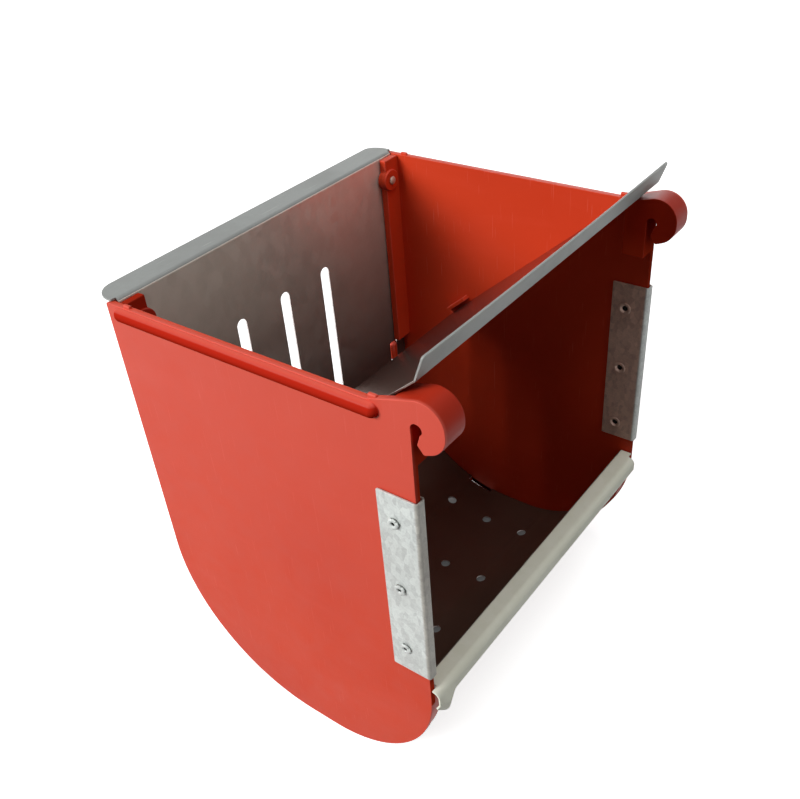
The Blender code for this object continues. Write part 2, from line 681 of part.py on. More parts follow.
def slot_cutters(x):
    """The cutter for one upright slot with round ends in the back wall."""
    radius = SLOT_WIDTH / 2
    bm = bmesh.new()
    upper = arc((x, SLOT_TOP - radius), radius, 0, 180)
    lower = arc((x, SLOT_BOTTOM + radius), radius, 180, 360)
    ring = [bm.verts.new((px, REAR_RIB_BACK, pz)) for px, pz in upper + lower]
    drawn = bmesh.ops.extrude_face_region(bm, geom=[bm.faces.new(ring)])["geom"]
    verts = [item for item in drawn if isinstance(item, bmesh.types.BMVert)]
    bmesh.ops.translate(bm, verts=verts, vec=(0.0, OUTER_RIB_BACK - REAR_RIB_BACK, 0.0))
    return [bm]


def trim_lip(bm):
    """Ends the rolled lip short of the right panel's outer face. The left end reaches it."""
    end = PANEL_OUTER - LIP_RIGHT_SETBACK
    lip = [face for face in bm.faces if face.calc_center_median().y < -LIP_ROLL_START]
    edges = list({edge for face in lip for edge in face.edges})
    bmesh.ops.bisect_plane(
        bm, geom=lip + edges, dist=1e-7, plane_co=(end, 0, 0), plane_no=(1, 0, 0),
    )
    beyond = []
    for face in bm.faces:
        centre = face.calc_center_median()
        if centre.x > end and centre.y < -LIP_ROLL_START:
            beyond.append(face)
    bmesh.ops.delete(bm, geom=beyond, context="FACES")


def trough_sheet(parent):
    """One folded sheet: top flange, slotted back wall, round floor, front wall and rolled lip."""
    line, wide_rows = trough_line()
    columns = (-PANEL_OUTER, -SHEET_EDGE, SHEET_EDGE, PANEL_OUTER)
    bm = folded_strip(line, columns, wide_rows)
    trim_lip(bm)
    round_corners(bm, lambda vert: abs(vert.co.y - HINDMOST) < 0.01 * MM, TOP_FLANGE_CORNER)
    lip_edge = Vector(LIP_EDGE)
    round_corners(bm, lambda vert: (vert.co.yz - lip_edge).length < 0.01 * MM, LIP_CORNER_RADIUS, 4)
    sheet = make_object("trough_sheet", bm, ZINC_SHEET, parent)
    thicken(sheet)
    for cutter in trough_openings():
        combine(sheet, cutter, "DIFFERENCE")
    finish_shading(sheet, "trough_sheet")
    return sheet


def baffle_sheet(parent):
    """The hopper's sloping front wall, with its leaning top flange."""
    flange_top = (BAFFLE_BEND[0] - BAFFLE_FLANGE_LEAN, BAFFLE_BEND[1] + BAFFLE_FLANGE_HEIGHT, 0)
    line = rounded([flange_top, BAFFLE_BEND + (BAFFLE_BEND_RADIUS,), BAFFLE_LOWER_EDGE + (0,)])
    half_width = PANEL_INNER - BAFFLE_SIDE_PLAY
    bm = bmesh.new()
    rows = [[bm.verts.new((x, y, z)) for x in (-half_width, half_width)] for y, z in line]
    for upper, lower in zip(rows, rows[1:]):
        bm.faces.new((upper[0], upper[1], lower[1], lower[0]))
    round_corners(bm, lambda vert: vert.co.z > flange_top[1] - 0.01 * MM, BAFFLE_CORNER_RADIUS)
    sheet = make_object("baffle_sheet", bm, ZINC_SHEET, parent)
    thicken(sheet)
    finish_shading(sheet, "baffle_sheet")
    return sheet


def edge_guard(side, name, parent):
    """A folded channel over the panel's front edge, pierced for its eyelets."""
    outer = PANEL_OUTER + FIT_GAP + SHEET_HALF
    inner = PANEL_INNER - FIT_GAP - SHEET_HALF
    web = -GUARD_WEB_GAP - SHEET_HALF
    line = rounded([
        (GUARD_LEG, outer, 0),
        (web, outer, GUARD_BEND_RADIUS),
        (web, inner, GUARD_BEND_RADIUS),
        (GUARD_LEG, inner, 0),
    ])
    bm = bmesh.new()
    rows = [[bm.verts.new((side * x, y, z)) for z in (guard_top(side), GUARD_BOTTOM)] for y, x in line]
    for first, second in zip(rows, rows[1:]):
        bm.faces.new((first[0], first[1], second[1], second[0]))
    guard = make_object(name, bm, BRIGHT_ZINC, parent)
    thicken(guard)
    for height in eyelet_heights(side):
        combine(guard, eyelet_hole(side, height), "DIFFERENCE")
    finish_shading(guard, name)
    return guard


# Fasteners


def guard_eyelet(side, height, name, parent):
    """A hollow eyelet: a funnel head inside, and an outer end split and folded into petals."""
    head_face = PANEL_INNER - 2 * FIT_GAP - SHEET_THICKNESS
    petal_face = PANEL_OUTER + 2 * FIT_GAP + SHEET_THICKNESS
    profile = [
        (EYELET_BARREL_RADIUS, head_face),
        (EYELET_HEAD_RADIUS, head_face),
        (EYELET_HEAD_RADIUS, head_face - EYELET_WALL / 2),
        (EYELET_HEAD_RADIUS - EYELET_WALL, head_face - EYELET_WALL),
        (EYELET_BORE_RADIUS + EYELET_WALL, head_face - EYELET_WALL / 2),
        (EYELET_BORE_RADIUS, head_face + EYELET_WALL),
        (EYELET_BORE_RADIUS, petal_face + EYELET_WALL),
        (EYELET_BARREL_RADIUS, petal_face + 1.6 * EYELET_WALL),
        (EYELET_HEAD_RADIUS - EYELET_WALL, petal_face + EYELET_WALL),
        (EYELET_HEAD_RADIUS - EYELET_WALL, petal_face),
        (EYELET_BARREL_RADIUS, petal_face),
    ]
    bm = lathe(profile, Matrix.Identity(4))
    split_petals(bm, petal_face)
    turn = Matrix.Rotation(side * math.pi / 2, 4, "Y")
    bm.transform(Matrix.Translation((0.0, EYELET_SETBACK, height)) @ turn)
    eyelet = make_object(name, bm, BRIGHT_ZINC, parent)
    finish_shading(eyelet, name)
    return eyelet


def split_petals(bm, petal_face):
    """Draws the rim of the eyelet's outer end in between its petals."""
    deepest = EYELET_HEAD_RADIUS - EYELET_WALL
    for vert in bm.verts:
        radius = math.hypot(vert.co.x, vert.co.y)
        if vert.co.z < petal_face - 1e-6 or radius < deepest - 1e-6:
            continue
        angle = math.atan2(vert.co.y, vert.co.x)
        share = 0.5 + 0.5 * math.cos(EYELET_PETALS * angle)
        kept = EYELET_BARREL_RADIUS + EYELET_WALL / 2 + share * (deepest - EYELET_BARREL_RADIUS)
        vert.co.x *= kept / radius
        vert.co.y *= kept / radius


def corner_rivet(side, name, parent):
    """A small rivet through the rear bosses and the back sheet."""
    front = RIVET_BOSS_FRONT - FIT_GAP
    back = OUTER_RIB_BACK - STAGGER + FIT_GAP
    dome = []
    for angle in (90, 67.5, 45, 22.5, 0):
        turn = math.radians(angle)
        dome.append((RIVET_HEAD_RADIUS * math.cos(turn), front - RIVET_HEAD_HEIGHT * math.sin(turn)))
    profile = dome + [
        (RIVET_SHANK_RADIUS, front),
        (RIVET_SHANK_RADIUS, back),
        (RIVET_HEAD_RADIUS, back),
        (RIVET_HEAD_RADIUS * 0.8, back + RIVET_HEAD_HEIGHT * 0.7),
        (0.0, back + RIVET_HEAD_HEIGHT * 0.8),
    ]
    turn = Matrix.Rotation(-math.pi / 2, 4, "X")
    bm = lathe(profile, Matrix.Translation((side * RIVET_X, 0.0, RIVET_HEIGHT)) @ turn)
    axis_faces = [face for face in bm.faces if face.calc_area() < 1e-12]
    bmesh.ops.delete(bm, geom=axis_faces, context="FACES")
    rivet = make_object(name, bm, BRIGHT_ZINC, parent)
    finish_shading(rivet, name)
    return rivet


def clear_scene():
    for item in list(bpy.data.objects):
        bpy.data.objects.remove(item)


def main():
    clear_scene()
    feeder = bpy.data.objects.new("feeder", None)
    feeder.location = WORLD_SHIFT
    bpy.context.scene.collection.objects.link(feeder)
    bpy.context.view_layer.update()
    for side, hand in ((-1, "left"), (1, "right")):
        side_panel(side, f"{hand}_side_panel", feeder)
        edge_guard(side, f"{hand}_edge_guard", feeder)
        for height, level in zip(eyelet_heights(side), ("upper", "middle", "lower")):
            guard_eyelet(side, height, f"{hand}_guard_eyelet_{level}", feeder)
        corner_rivet(side, f"{hand}_corner_rivet", feeder)
    trough_sheet(feeder)
    baffle_sheet(feeder)


main()
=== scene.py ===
"""Looks of a hanging poultry feeder: moulded red side panels, a folded zinc trough and baffle, and
pierced guards on the panels' front edges, standing on a plain pale floor.

Pieces are drawn in millimetres in the feeder's drawing frame: X across, Y = 0 at the panels'
front edges and growing to the back, Z = 0 at the panels' top edges. They are drawn for the left
side and mirrored for the right.
"""

import math
import random

import bmesh
import bpy
from mathutils import Euler, Matrix, Vector


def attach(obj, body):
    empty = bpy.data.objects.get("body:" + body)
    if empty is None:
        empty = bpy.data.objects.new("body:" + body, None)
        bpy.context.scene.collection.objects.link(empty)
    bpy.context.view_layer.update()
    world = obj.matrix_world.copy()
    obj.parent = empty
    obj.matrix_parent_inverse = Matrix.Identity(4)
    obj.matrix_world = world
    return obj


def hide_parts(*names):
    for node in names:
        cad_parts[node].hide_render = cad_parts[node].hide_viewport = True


MM = 0.001
DRAWING_ORIGIN = Vector((0.0, -58.75, 165.5))
MIRRORED = Matrix.Scale(-1.0, 4, (1.0, 0.0, 0.0))

# Side panels
PANEL_OUTER = 75.0
PANEL_INNER = 72.8
PANEL_DEPTH = 120.5
PANEL_HEIGHT = 165.5
FRONT_CORNER = 49.0
BACK_CORNER = 60.0
PANEL_EDGE = 0.45  # rounding of the moulded edges
ROOT_DEPTH = 1.0  # how far a rib's root reaches into the wall
BEAD_RADIUS = 2.46
BEAD_LEVEL = -2.7
BEAD_ENDS = (10.0, 116.0)

# Where the red is given no reflection, as painted shade, drawn for the left side
SHADED_BEAD = (-5.3, -1.1)  # heights
SHADED_FRONT_EDGE = (-150.0, -4.0)  # heights
SHADED_REAR_RIB = (113.5, 117.3)  # distances from the front

# Hook
HOOK_CENTRE = (-3.2, -2.8)
HOOK_RADIUS = 7.7
HOOK_WIDTH = 9.2
HOOK_RISE = 16.5  # degrees
HOOK_NOSE = (-10.9, -8.9, 7.0)
HOOK_TIP = (-3.9, -11.7, 0.6)
HOOK_CATCH = (-1.8, -9.1, 0.7)
WIRE_SEAT = (-1.8, -4.3)
WIRE_SEAT_RADIUS = 1.8
WIRE_SEAT_START = 235.0  # degrees
BLOCK_BOTTOM = -18.0
BLOCK_DEPTH = 8.4

# Sheets
SHEET = 0.6
SHEET_EDGE = 72.3
BACK_SHEET = 117.5
FLOOR_SHEET = -162.5
FRONT_SHEET = 4.5
BAFFLE_BEND = (-0.1, 8.4)
BAFFLE_TOP = (-3.1, 16.5)
BAFFLE_END = (85.9, -65.4)
BAFFLE_HALF = 72.0
LIP_HEIGHT = -111.0
LIP_RIGHT_END = 69.5
LIP_EDGE = (-1.2, -120.0)
LIP_BULGE = -71.0  # the place across where the lip's fold stands open
FLANGE_END = 74.2
FLANGE_EDGE = (128.4, 0.6)
BAFFLE_SAG = (0.4, 1.1)  # how far the middle of the baffle's top edge leans back and sags
SHEET_BURR = 0.12  # rounding of cut edges

# Openings in the trough
SLOT_PLACES = (-24.0, 0.0, 24.0)
SLOT_HALF_WIDTH = 2.5
SLOT_HEIGHTS = (-99.0, -31.0)
DRAIN_COLUMNS = (-52.5, -17.5, 17.5, 52.5)
DRAIN_ROWS = (40.6, 59.6, 79.3)
DRAIN_RADIUS = 2.0

# Guards and eyelets
GUARD_TOP = -29.6
RIGHT_GUARD_DROP = 3.2
GUARD_BOTTOM = -104.1
GUARD_LEGS = (75.6, 72.2)  # the outer and the inner leg's distance from the middle
GUARD_REACH = (-0.8, 13.4)
EYELET_SETBACK = 7.7
EYELET_HOLE = 1.8
EYELET_HEIGHTS = {"upper": -40.0, "middle": -66.85, "lower": -93.7}
EYELET_OUTER_FACE = 76.2
EYELET_INNER_FACE = 71.6
PETALS = 6
PETAL_ROOT = 1.55

# Corner rivets
RIVET_X = 67.0
RIVET_Z = -9.0

FINE_ARC = 3.0  # degrees between the points of a drawn arc

# Reds of the moulding, all colours being linear
RED = (0.635, 0.050, 0.014)
DEEPER_RED = (0.595, 0.042, 0.011)
FLOW_RED = (0.680, 0.062, 0.028)
GRAIN_RED = (0.45, 0.020, 0.010)
SCRATCHED_RED = (0.78, 0.17, 0.13)
RUBBED_RED = (0.76, 0.105, 0.075)
# Painted shade in the inner corners
CORNER_SHADE_RED = (0.30, 0.013, 0.008)
DUSTY_RED = (0.52, 0.22, 0.17)
# Painted sheen, paler towards the top of the outer faces
PAINTED_SHEEN_RED = (0.700, 0.128, 0.100)
# Painted shade on the hooks
HOOK_SHADE_RED = (0.42, 0.022, 0.007)
# Painted shade under the beads
UNDER_BEAD_SHADE_RED = (0.43, 0.016, 0.006)
# Painted shade on the left rear rib
REAR_RIB_SHADE_RED = (0.30, 0.014, 0.005)
# Painted shade on faces that look down
UNDERSIDE_SHADE_RED = (0.30, 0.012, 0.003)

# Dark, light and stained tones of the sheets, and the scratches, worn edges and painted shade over them
# Lit and shaded copies of one zinc: the lip paler as painted light, flanges and slope darker as painted
# shade
DULL_TONES = ((0.73, 0.70, 0.62), (0.80, 0.77, 0.69), (0.65, 0.61, 0.52))
SLOPE_TONES = ((0.13, 0.10, 0.09), (0.16, 0.13, 0.115), (0.11, 0.085, 0.075))
FLANGE_TONES = ((0.26, 0.27, 0.26), (0.295, 0.31, 0.30), (0.23, 0.235, 0.225))
LIP_TONES = ((0.82, 0.825, 0.68), (0.87, 0.875, 0.75), (0.78, 0.78, 0.64))
BRIGHT_TONES = ((0.45, 0.475, 0.46), (0.68, 0.72, 0.69), (0.42, 0.42, 0.40))
# A red tint on the slope's reflections: a painted reflection of the red panels
SLOPE_REFLECTION_TINT = (0.88, 0.64, 0.57, 1.0)
SCRATCHED_ZINC = (0.86, 0.86, 0.83)
WORN_ZINC = (0.84, 0.82, 0.78)
# Painted shade on the trough's inside, darker downwards, and a browner tone near the very bottom
DOWNWARD_SHADE = (0.045, 0.012, 0.007)
BOTTOM_BROWN = (0.16, 0.075, 0.045)
# Painted light on the guards: red light thrown back on the inner legs, painted shade on the left web
INNER_LEG_BOUNCE_TINT = (1.0, 0.64, 0.54)
LEFT_WEB_SHADE_TINT = (0.68, 0.62, 0.58)

# The floor, in metres. The drain holes show it dark right under the feeder, so each pair of
# levels is for the open floor and for the shade there
FLOOR_SHADE_SIDE = (0.061, 0.0745)  # where the shade ends, from and to
FLOOR_SHADE_FRONT = (-0.0215, -0.0175)
FLOOR_SHADE_BACK = (0.028, 0.044)
FLOOR_GLOW = (0.78, 0.05)
FLOOR_GREY = (0.80, 0.20)
FLOOR_FAR = (0.5, 1.5)
FLOOR_FAR_GLOW = 0.22  # added far from the feeder
FLOOR_BOUNCE = 0.12  # the floor's grey for the light that it throws back

# Lights: name, place, size and power
WORLD_FILL = 0.045
LIGHT_AIM = (0.0, 0.0, 0.09)
SOFTBOXES = (
    ("key_left", (-1.16, 0.58, 0.70), 0.6, 20.5),
    ("top", (-0.10, -0.35, 1.45), 0.6, 7.0),
    ("front_fill", (0.0, -1.5, 0.9), 1.2, 2.6),
    ("right_fill", (1.5, 0.5, 0.45), 1.0, 7.0),
)

# The photograph's camera
CAMERA_PLACE = Vector((-222.14, -176.63, 299.85)) * MM
CAMERA_TURN = (52.655, 4.263, -53.151)  # degrees about X, Y and Z
LENS = 41.17
CAMERA_SHIFT = (0.0082, 0.0560)


# Drawing


def line_to(bm, vert, y, z):
    """Draws a straight edge from a vertex and returns the vertex at its end."""
    end = bmesh.ops.extrude_vert_indiv(bm, verts=[vert])["verts"][0]
    end.co.yz = (y, z)
    return end


def swing(bm, vert, centre, degrees):
    """Swings a vertex about a (Y, Z) point and returns the vertex at the arc's end."""
    steps = max(3, round(abs(degrees) / (2 * FINE_ARC)))
    drawn = bmesh.ops.spin(
        bm, geom=[vert], cent=(vert.co.x, *centre), axis=(1, 0, 0),
        angle=math.radians(degrees), steps=steps,
    )
    return drawn["geom_last"][0]


def outline(corners, x):
    """A flat face at X = x through (y, z, radius) corners, with its corners rounded."""
    bm = bmesh.new()
    bm.faces.new([bm.verts.new((x, corner[0], corner[1])) for corner in corners])
    for corner in corners:
        if len(corner) > 2:
            round_corner(bm, Vector((x, corner[0], corner[1])), corner[2])
    return bm


def round_corner(bm, place, radius):
    """Rounds the corner of a flat shape that is at a place."""
    vert = min(bm.verts, key=lambda candidate: (candidate.co - place).length)
    rim = [edge for edge in vert.link_edges if edge.is_boundary or edge.is_wire]
    arms = [edge.other_vert(vert).co - vert.co for edge in rim]
    opening = arms[0].angle(arms[1])
    turn = math.degrees(math.pi - opening)
    bmesh.ops.bevel(
        bm, geom=[vert], offset=radius / math.tan(opening / 2), offset_type="OFFSET",
        segments=max(3, round(turn / FINE_ARC / (1 if radius > 20 else 3))), profile=0.5,
        affect="VERTICES", clamp_overlap=False, material=-1,
    )


def extrude(bm, faces, distance):
    """Draws faces out along X and returns the new faces at the far end."""
    edges = list({edge for face in faces for edge in face.edges})
    drawn = bmesh.ops.extrude_face_region(bm, geom=faces + edges)["geom"]
    verts = [item for item in drawn if isinstance(item, bmesh.types.BMVert)]
    bmesh.ops.translate(bm, verts=verts, vec=(distance, 0.0, 0.0))
    return [item for item in drawn if isinstance(item, bmesh.types.BMFace)]


def prism(corners, x_from, x_to):
    """A closed shape between two places across, with an outline of (y, z, radius) corners."""
    bm = outline(corners, x_from)
    extrude(bm, bm.faces[:], x_to - x_from)
    return bm


def block(low, high):
    """A closed box between two corners."""
    low, high = Vector(low), Vector(high)
    size = Matrix.Diagonal((high - low).to_4d())
    bm = bmesh.new()
    bmesh.ops.create_cube(bm, size=1.0, matrix=Matrix.Translation((low + high) / 2) @ size)
    return bm


def round_bar(centre, radius, length, turn, segments=32):
    """A closed round bar, its axis turned from Z by a matrix."""
    bm = bmesh.new()
    bmesh.ops.create_cone(
        bm, cap_ends=True, segments=segments, radius1=radius, radius2=radius, depth=length,
        matrix=Matrix.Translation(centre) @ turn,
    )
    return bm


def soften(bm, radius, segments=3, sharper_than=28.0):
    """Rounds the sharp edges of a closed shape. The crest of each rounding gets a value of 1 on an
    outer edge, where the finishes paint worn edges, and -1 in an inner corner, where the red gets
    painted shade and the zinc a stain."""
    crests_and_corners = bm.verts.layers.float.get("crests_and_corners") or bm.verts.layers.float.new("crests_and_corners")
    bmesh.ops.recalc_face_normals(bm, faces=bm.faces)
    limit = math.radians(sharper_than)
    sharp = [edge for edge in bm.edges if edge.is_manifold and edge.calc_face_angle() > limit]
    made = bmesh.ops.bevel(
        bm, geom=sharp, offset=radius, offset_type="OFFSET", segments=segments, profile=0.5,
        affect="EDGES", clamp_overlap=True, material=-1,
    )
    bm.normal_update()
    rounding = set(made["faces"])
    for vert in made["verts"]:
        if not vert.is_valid or not all(face in rounding for face in vert.link_faces):
            continue
        lean = sum((edge.other_vert(vert).co - vert.co).normalized().dot(vert.normal)
                   for edge in vert.link_edges)
        vert[crests_and_corners] = 1.0 if lean < 0 else -1.0
    return bm


def gather(shapes):
    """Joins finished shapes into one bmesh."""
    whole = bmesh.new()
    whole.verts.layers.float.new("crests_and_corners")
    for shape in shapes:
        mesh = bpy.data.meshes.new("shape")
        shape.to_mesh(mesh)
        shape.free()
        whole.from_mesh(mesh)
        bpy.data.meshes.remove(mesh)
    return whole


def folded_sheet(corners, across, arc_step=FINE_ARC * 2):
    """A sheet's middle surface: a line through (point, bend radius) corners, drawn out across."""
    across = Vector(across)
    bm = bmesh.new()
    verts = [bm.verts.new(point) for point, _ in corners]
    line = [bm.edges.new(pair) for pair in zip(verts, verts[1:])]
    drawn = bmesh.ops.extrude_edge_only(bm, edges=line)["geom"]
    far = [item for item in drawn if isinstance(item, bmesh.types.BMVert)]
    bmesh.ops.translate(bm, verts=far, vec=across)
    for (before, _), (corner, radius), (after, _) in zip(corners, corners[1:], corners[2:]):
        if radius:
            fold(bm, Vector(before), Vector(corner), Vector(after), across, radius, arc_step)
    return bm


def fold(bm, before, corner, after, across, radius, arc_step):
    """Turns the crease that runs across from a corner into a bend of a given radius."""
    turn = (corner - before).angle(after - corner)
    ends = (corner, corner + across)
    crease = [edge for edge in bm.edges
              if all(min((vert.co - end).length for end in ends) < 0.01 for vert in edge.verts)]
    bmesh.ops.bevel(
        bm, geom=crease, offset=radius * math.tan(turn / 2), offset_type="OFFSET",
        segments=max(4, round(math.degrees(turn) / arc_step)), profile=0.5, affect="EDGES",
        clamp_overlap=False, material=-1,
    )


def cut_across(bm, place, direction):
    """Runs a line of edges through a sheet where a plane meets it."""
    bmesh.ops.bisect_plane(
        bm, geom=bm.verts[:] + bm.edges[:] + bm.faces[:], dist=1e-4, plane_co=place, plane_no=direction,
    )


# Objects


def raw_object(name, bm):
    mesh = bpy.data.meshes.new(name)
    bm.to_mesh(mesh)
    bm.free()
    item = bpy.data.objects.new(name, mesh)
    bpy.context.scene.collection.objects.link(item)
    return item


def settle(item):
    """Replaces an object's mesh by what its modifiers make of it."""
    depsgraph = bpy.context.evaluated_depsgraph_get()
    depsgraph.update()
    old = item.data
    item.data = bpy.data.meshes.new_from_object(item.evaluated_get(depsgraph))
    item.modifiers.clear()
    bpy.data.meshes.remove(old)


def to_bmesh(item):
    """Takes an object's mesh back into a bmesh and removes the object."""
    bm = bmesh.new()
    bm.from_mesh(item.data)
    mesh = item.data
    bpy.data.objects.remove(item)
    bpy.data.meshes.remove(mesh)
    return bm


def carve(bm, cutters):
    """Cuts shapes out of a closed shape. The cut faces get the second material slot."""
    tool_bm = gather(cutters)
    bmesh.ops.recalc_face_normals(tool_bm, faces=tool_bm.faces)
    for face in tool_bm.faces:
        face.material_index = 1
    item = raw_object("carved", bm)
    tool = raw_object("cutter", tool_bm)
    modifier = item.modifiers.new("cut", "BOOLEAN")
    modifier.operation = "DIFFERENCE"
    modifier.solver = "EXACT"
    modifier.object = tool
    settle(item)
    to_bmesh(tool).free()
    return to_bmesh(item)


def thicken(bm, thickness):
    """Gives a middle surface its thickness. The rim gets the second material slot."""
    item = raw_object("sheet", bm)
    modifier = item.modifiers.new("thickness", "SOLIDIFY")
    modifier.thickness = thickness
    modifier.offset = 0.0
    modifier.use_even_offset = True
    modifier.material_offset_rim = 1
    settle(item)
    return to_bmesh(item)


def add_piece(name, bm, finishes, stands_for):
    """Places a finished shape in the scene as a piece of the feeder."""
    bmesh.ops.recalc_face_normals(bm, faces=bm.faces)
    bm.transform(Matrix.Scale(MM, 4) @ Matrix.Translation(DRAWING_ORIGIN))
    item = raw_object(name, bm)
    for finish in finishes:
        item.data.materials.append(finish)
    item.data.shade_smooth()
    item.data.set_sharp_from_angle(angle=math.radians(50))
    normals = item.modifiers.new("normals", "WEIGHTED_NORMAL")
    normals.keep_sharp = True
    settle(item)
    item.data.name = name
    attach(item, "root")
    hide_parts(stands_for)


def for_side(bm, side):
    """A shape that is drawn for the left side, mirrored for the right."""
    if side > 0:
        bm.transform(MIRRORED)
        bmesh.ops.recalc_face_normals(bm, faces=bm.faces)
    return bm


# Moulded panels


def along_baffle(distance, above):
    """A (Y, Z) point from its distance down the baffle's slope and its height over the sheet."""
    slope = (Vector(BAFFLE_END) - Vector(BAFFLE_BEND)).normalized()
    place = Vector(BAFFLE_BEND) + slope * distance + Vector((-slope.y, slope.x)) * above
    return place.x, place.y


def panel_plate():
    """The panel and its hook, in one shape that is wide only at the hook."""
    rise = math.radians(HOOK_RISE)
    crest = Vector(HOOK_CENTRE) + HOOK_RADIUS * Vector((math.sin(rise), math.cos(rise)))
    fall = math.tan(rise)
    root = crest.x + crest.y / fall
    under = along_baffle(0.0, -0.7)
    slope = (BAFFLE_BEND[1] - BAFFLE_END[1]) / (BAFFLE_END[0] - BAFFLE_BEND[0])
    rear_top = under[1] - slope * (BLOCK_DEPTH - under[0])
    meeting = (under[1] + slope * under[0] - crest.y - fall * crest.x) / (slope - fall)
    meeting_z = crest.y - fall * (meeting - crest.x)
    seat_start = Vector(WIRE_SEAT) + WIRE_SEAT_RADIUS * Vector((
        math.cos(math.radians(WIRE_SEAT_START)), math.sin(math.radians(WIRE_SEAT_START))))

    bm = bmesh.new()
    first = bm.verts.new((-PANEL_OUTER, root, 0.0))
    block_top = line_to(bm, first, meeting, meeting_z)
    vert = swing(bm, line_to(bm, block_top, *crest), HOOK_CENTRE, 90 + HOOK_RISE)
    for corner in (HOOK_NOSE, HOOK_TIP, HOOK_CATCH):
        vert = line_to(bm, vert, corner[0], corner[1])
    vert = swing(bm, line_to(bm, vert, *seat_start), WIRE_SEAT, -WIRE_SEAT_START)
    block_low = line_to(bm, vert, 0.0, BLOCK_BOTTOM)
    vert = block_low
    for corner in ((0.0, -PANEL_HEIGHT), (PANEL_DEPTH, -PANEL_HEIGHT), (PANEL_DEPTH, 0.0)):
        vert = line_to(bm, vert, *corner)
    bm.edges.new((vert, first))
    face = bmesh.ops.contextual_create(bm, geom=bm.edges[:])["faces"][0]
    inner_line = [(-PANEL_OUTER, BLOCK_DEPTH, BLOCK_BOTTOM), (-PANEL_OUTER, BLOCK_DEPTH, rear_top)]
    bmesh.utils.face_split(face, block_low, block_top, coords=inner_line)
    for corner in (HOOK_NOSE, HOOK_TIP, HOOK_CATCH, (0.0, -PANEL_HEIGHT, FRONT_CORNER),
                   (PANEL_DEPTH, -PANEL_HEIGHT, BACK_CORNER), (PANEL_DEPTH, 0.0, 0.8)):
        round_corner(bm, Vector((-PANEL_OUTER, corner[0], corner[1])), corner[2])
    inner = extrude(bm, bm.faces[:], PANEL_OUTER - PANEL_INNER)
    hook_inner = min(inner, key=lambda candidate: candidate.calc_area())
    extrude(bm, [hook_inner], HOOK_WIDTH - PANEL_OUTER + PANEL_INNER)
    on_outer_face = [edge for edge in bm.edges
                     if edge.is_manifold and edge.calc_face_angle() < 0.001
                     and all(vert.co.x < -PANEL_OUTER + 0.01 for vert in edge.verts)]
    bmesh.ops.dissolve_edges(bm, edges=on_outer_face, use_verts=False)
    return bm


def panel_bead():
    """The half-round stiffening bead along the top of the outer face, with round ends."""
    front, back = BEAD_ENDS
    bm = bmesh.new()
    bmesh.ops.create_uvsphere(
        bm, u_segments=36, v_segments=17, radius=BEAD_RADIUS,
        matrix=Matrix.Rotation(math.pi / 2, 4, "X"),
    )
    rear = [vert for vert in bm.verts if vert.co.y > 1e-6]
    bmesh.ops.translate(bm, verts=rear, vec=(0.0, back - front - 2 * BEAD_RADIUS, 0.0))
    bm.transform(Matrix.Translation((-PANEL_OUTER, front + BEAD_RADIUS, BEAD_LEVEL)))
    cut = bmesh.ops.bisect_plane(
        bm, geom=bm.verts[:] + bm.edges[:] + bm.faces[:], dist=1e-5,
        plane_co=(-PANEL_OUTER + ROOT_DEPTH, 0, 0), plane_no=(1, 0, 0), clear_outer=True,
    )
    rim = [item for item in cut["geom_cut"] if isinstance(item, bmesh.types.BMEdge)]
    bmesh.ops.contextual_create(bm, geom=rim)
    return bm


def panel_ribs():
    """The ribs that carry the baffle and the trough, and the rear rib with its rivet bosses."""
    root, low_rib = -PANEL_INNER - ROOT_DEPTH, -PANEL_INNER + 3.5
    stop = (Vector(BAFFLE_END) - Vector(BAFFLE_BEND)).length + 0.3
    guide = [(104.0, 3.4), (stop + 1.7, 3.4), (stop + 1.7, -2.3), (13.0, -2.3),
             (13.0, -0.6), (stop, -0.6), (stop, 1.7), (104.0, 1.7)]
    back, inner_back = PANEL_DEPTH - 0.3, BACK_SHEET + 0.6
    trough_rib = [
        (back, -0.5), (back, 0.3 - PANEL_HEIGHT, BACK_CORNER - 0.3),
        (0.3, 0.3 - PANEL_HEIGHT, FRONT_CORNER - 0.3), (0.3, -116.5), (3.9, -118.0),
        (3.9, FLOOR_SHEET - 0.6, 45.1), (inner_back, FLOOR_SHEET - 0.6, 57.6), (inner_back, -0.5),
    ]
    edge_drain_gap = block((-PANEL_INNER, 68.6, -170.0), (-65.8, 81.2, -80.0))
    turn = Matrix.Rotation(math.pi / 2, 4, "X")
    return [
        soften(prism([along_baffle(*corner) for corner in guide], root, low_rib), 0.35),
        soften(carve(prism(trough_rib, root, low_rib), [edge_drain_gap]), 0.3),
        soften(block((root, 113.9, -85.5), (-64.5, 116.9, -0.4)), 0.4),
        soften(round_bar((-RIVET_X, 114.85, RIVET_Z), 4.5, 3.9, turn), 0.5),
        soften(round_bar((-RIVET_X, 119.15, RIVET_Z), 4.5, 1.9, turn), 0.3),
    ]


def panel_catch():
    """The finger behind the back sheet and the tongue that shows through the sheet's window."""
    return [
        soften(block((-PANEL_INNER - ROOT_DEPTH, 118.3, -96.5), (-62.1, 120.0, -87.0)), 0.3),
        soften(block((-66.1, 116.2, -96.4), (-62.2, 119.9, -87.1)), 1.5, 5),
    ]


def panel_nibs():
    """The two small nibs on the top edge."""
    low, high = -PANEL_OUTER + 0.45, -PANEL_INNER - 0.45
    return [
        soften(block((low, 10.9, -1.0), (high, 13.9, 1.6)), 0.45),
        soften(block((low, 109.4, -1.0), (high, 112.4, 0.9)), 0.4),
    ]


def guard_drop(side):
    """How far a guard's top and its eyelets sit below the left side's."""
    return RIGHT_GUARD_DROP if side > 0 else 0.0


def eyelet_bores(side):
    """The cutters for the eyelets' holes, drawn for the left side."""
    turn = Matrix.Rotation(math.pi / 2, 4, "Y")
    heights = [height - guard_drop(side) for height in EYELET_HEIGHTS.values()]
    return [round_bar((-PANEL_OUTER, EYELET_SETBACK, height), EYELET_HOLE, 9.0, turn)
            for height in heights]


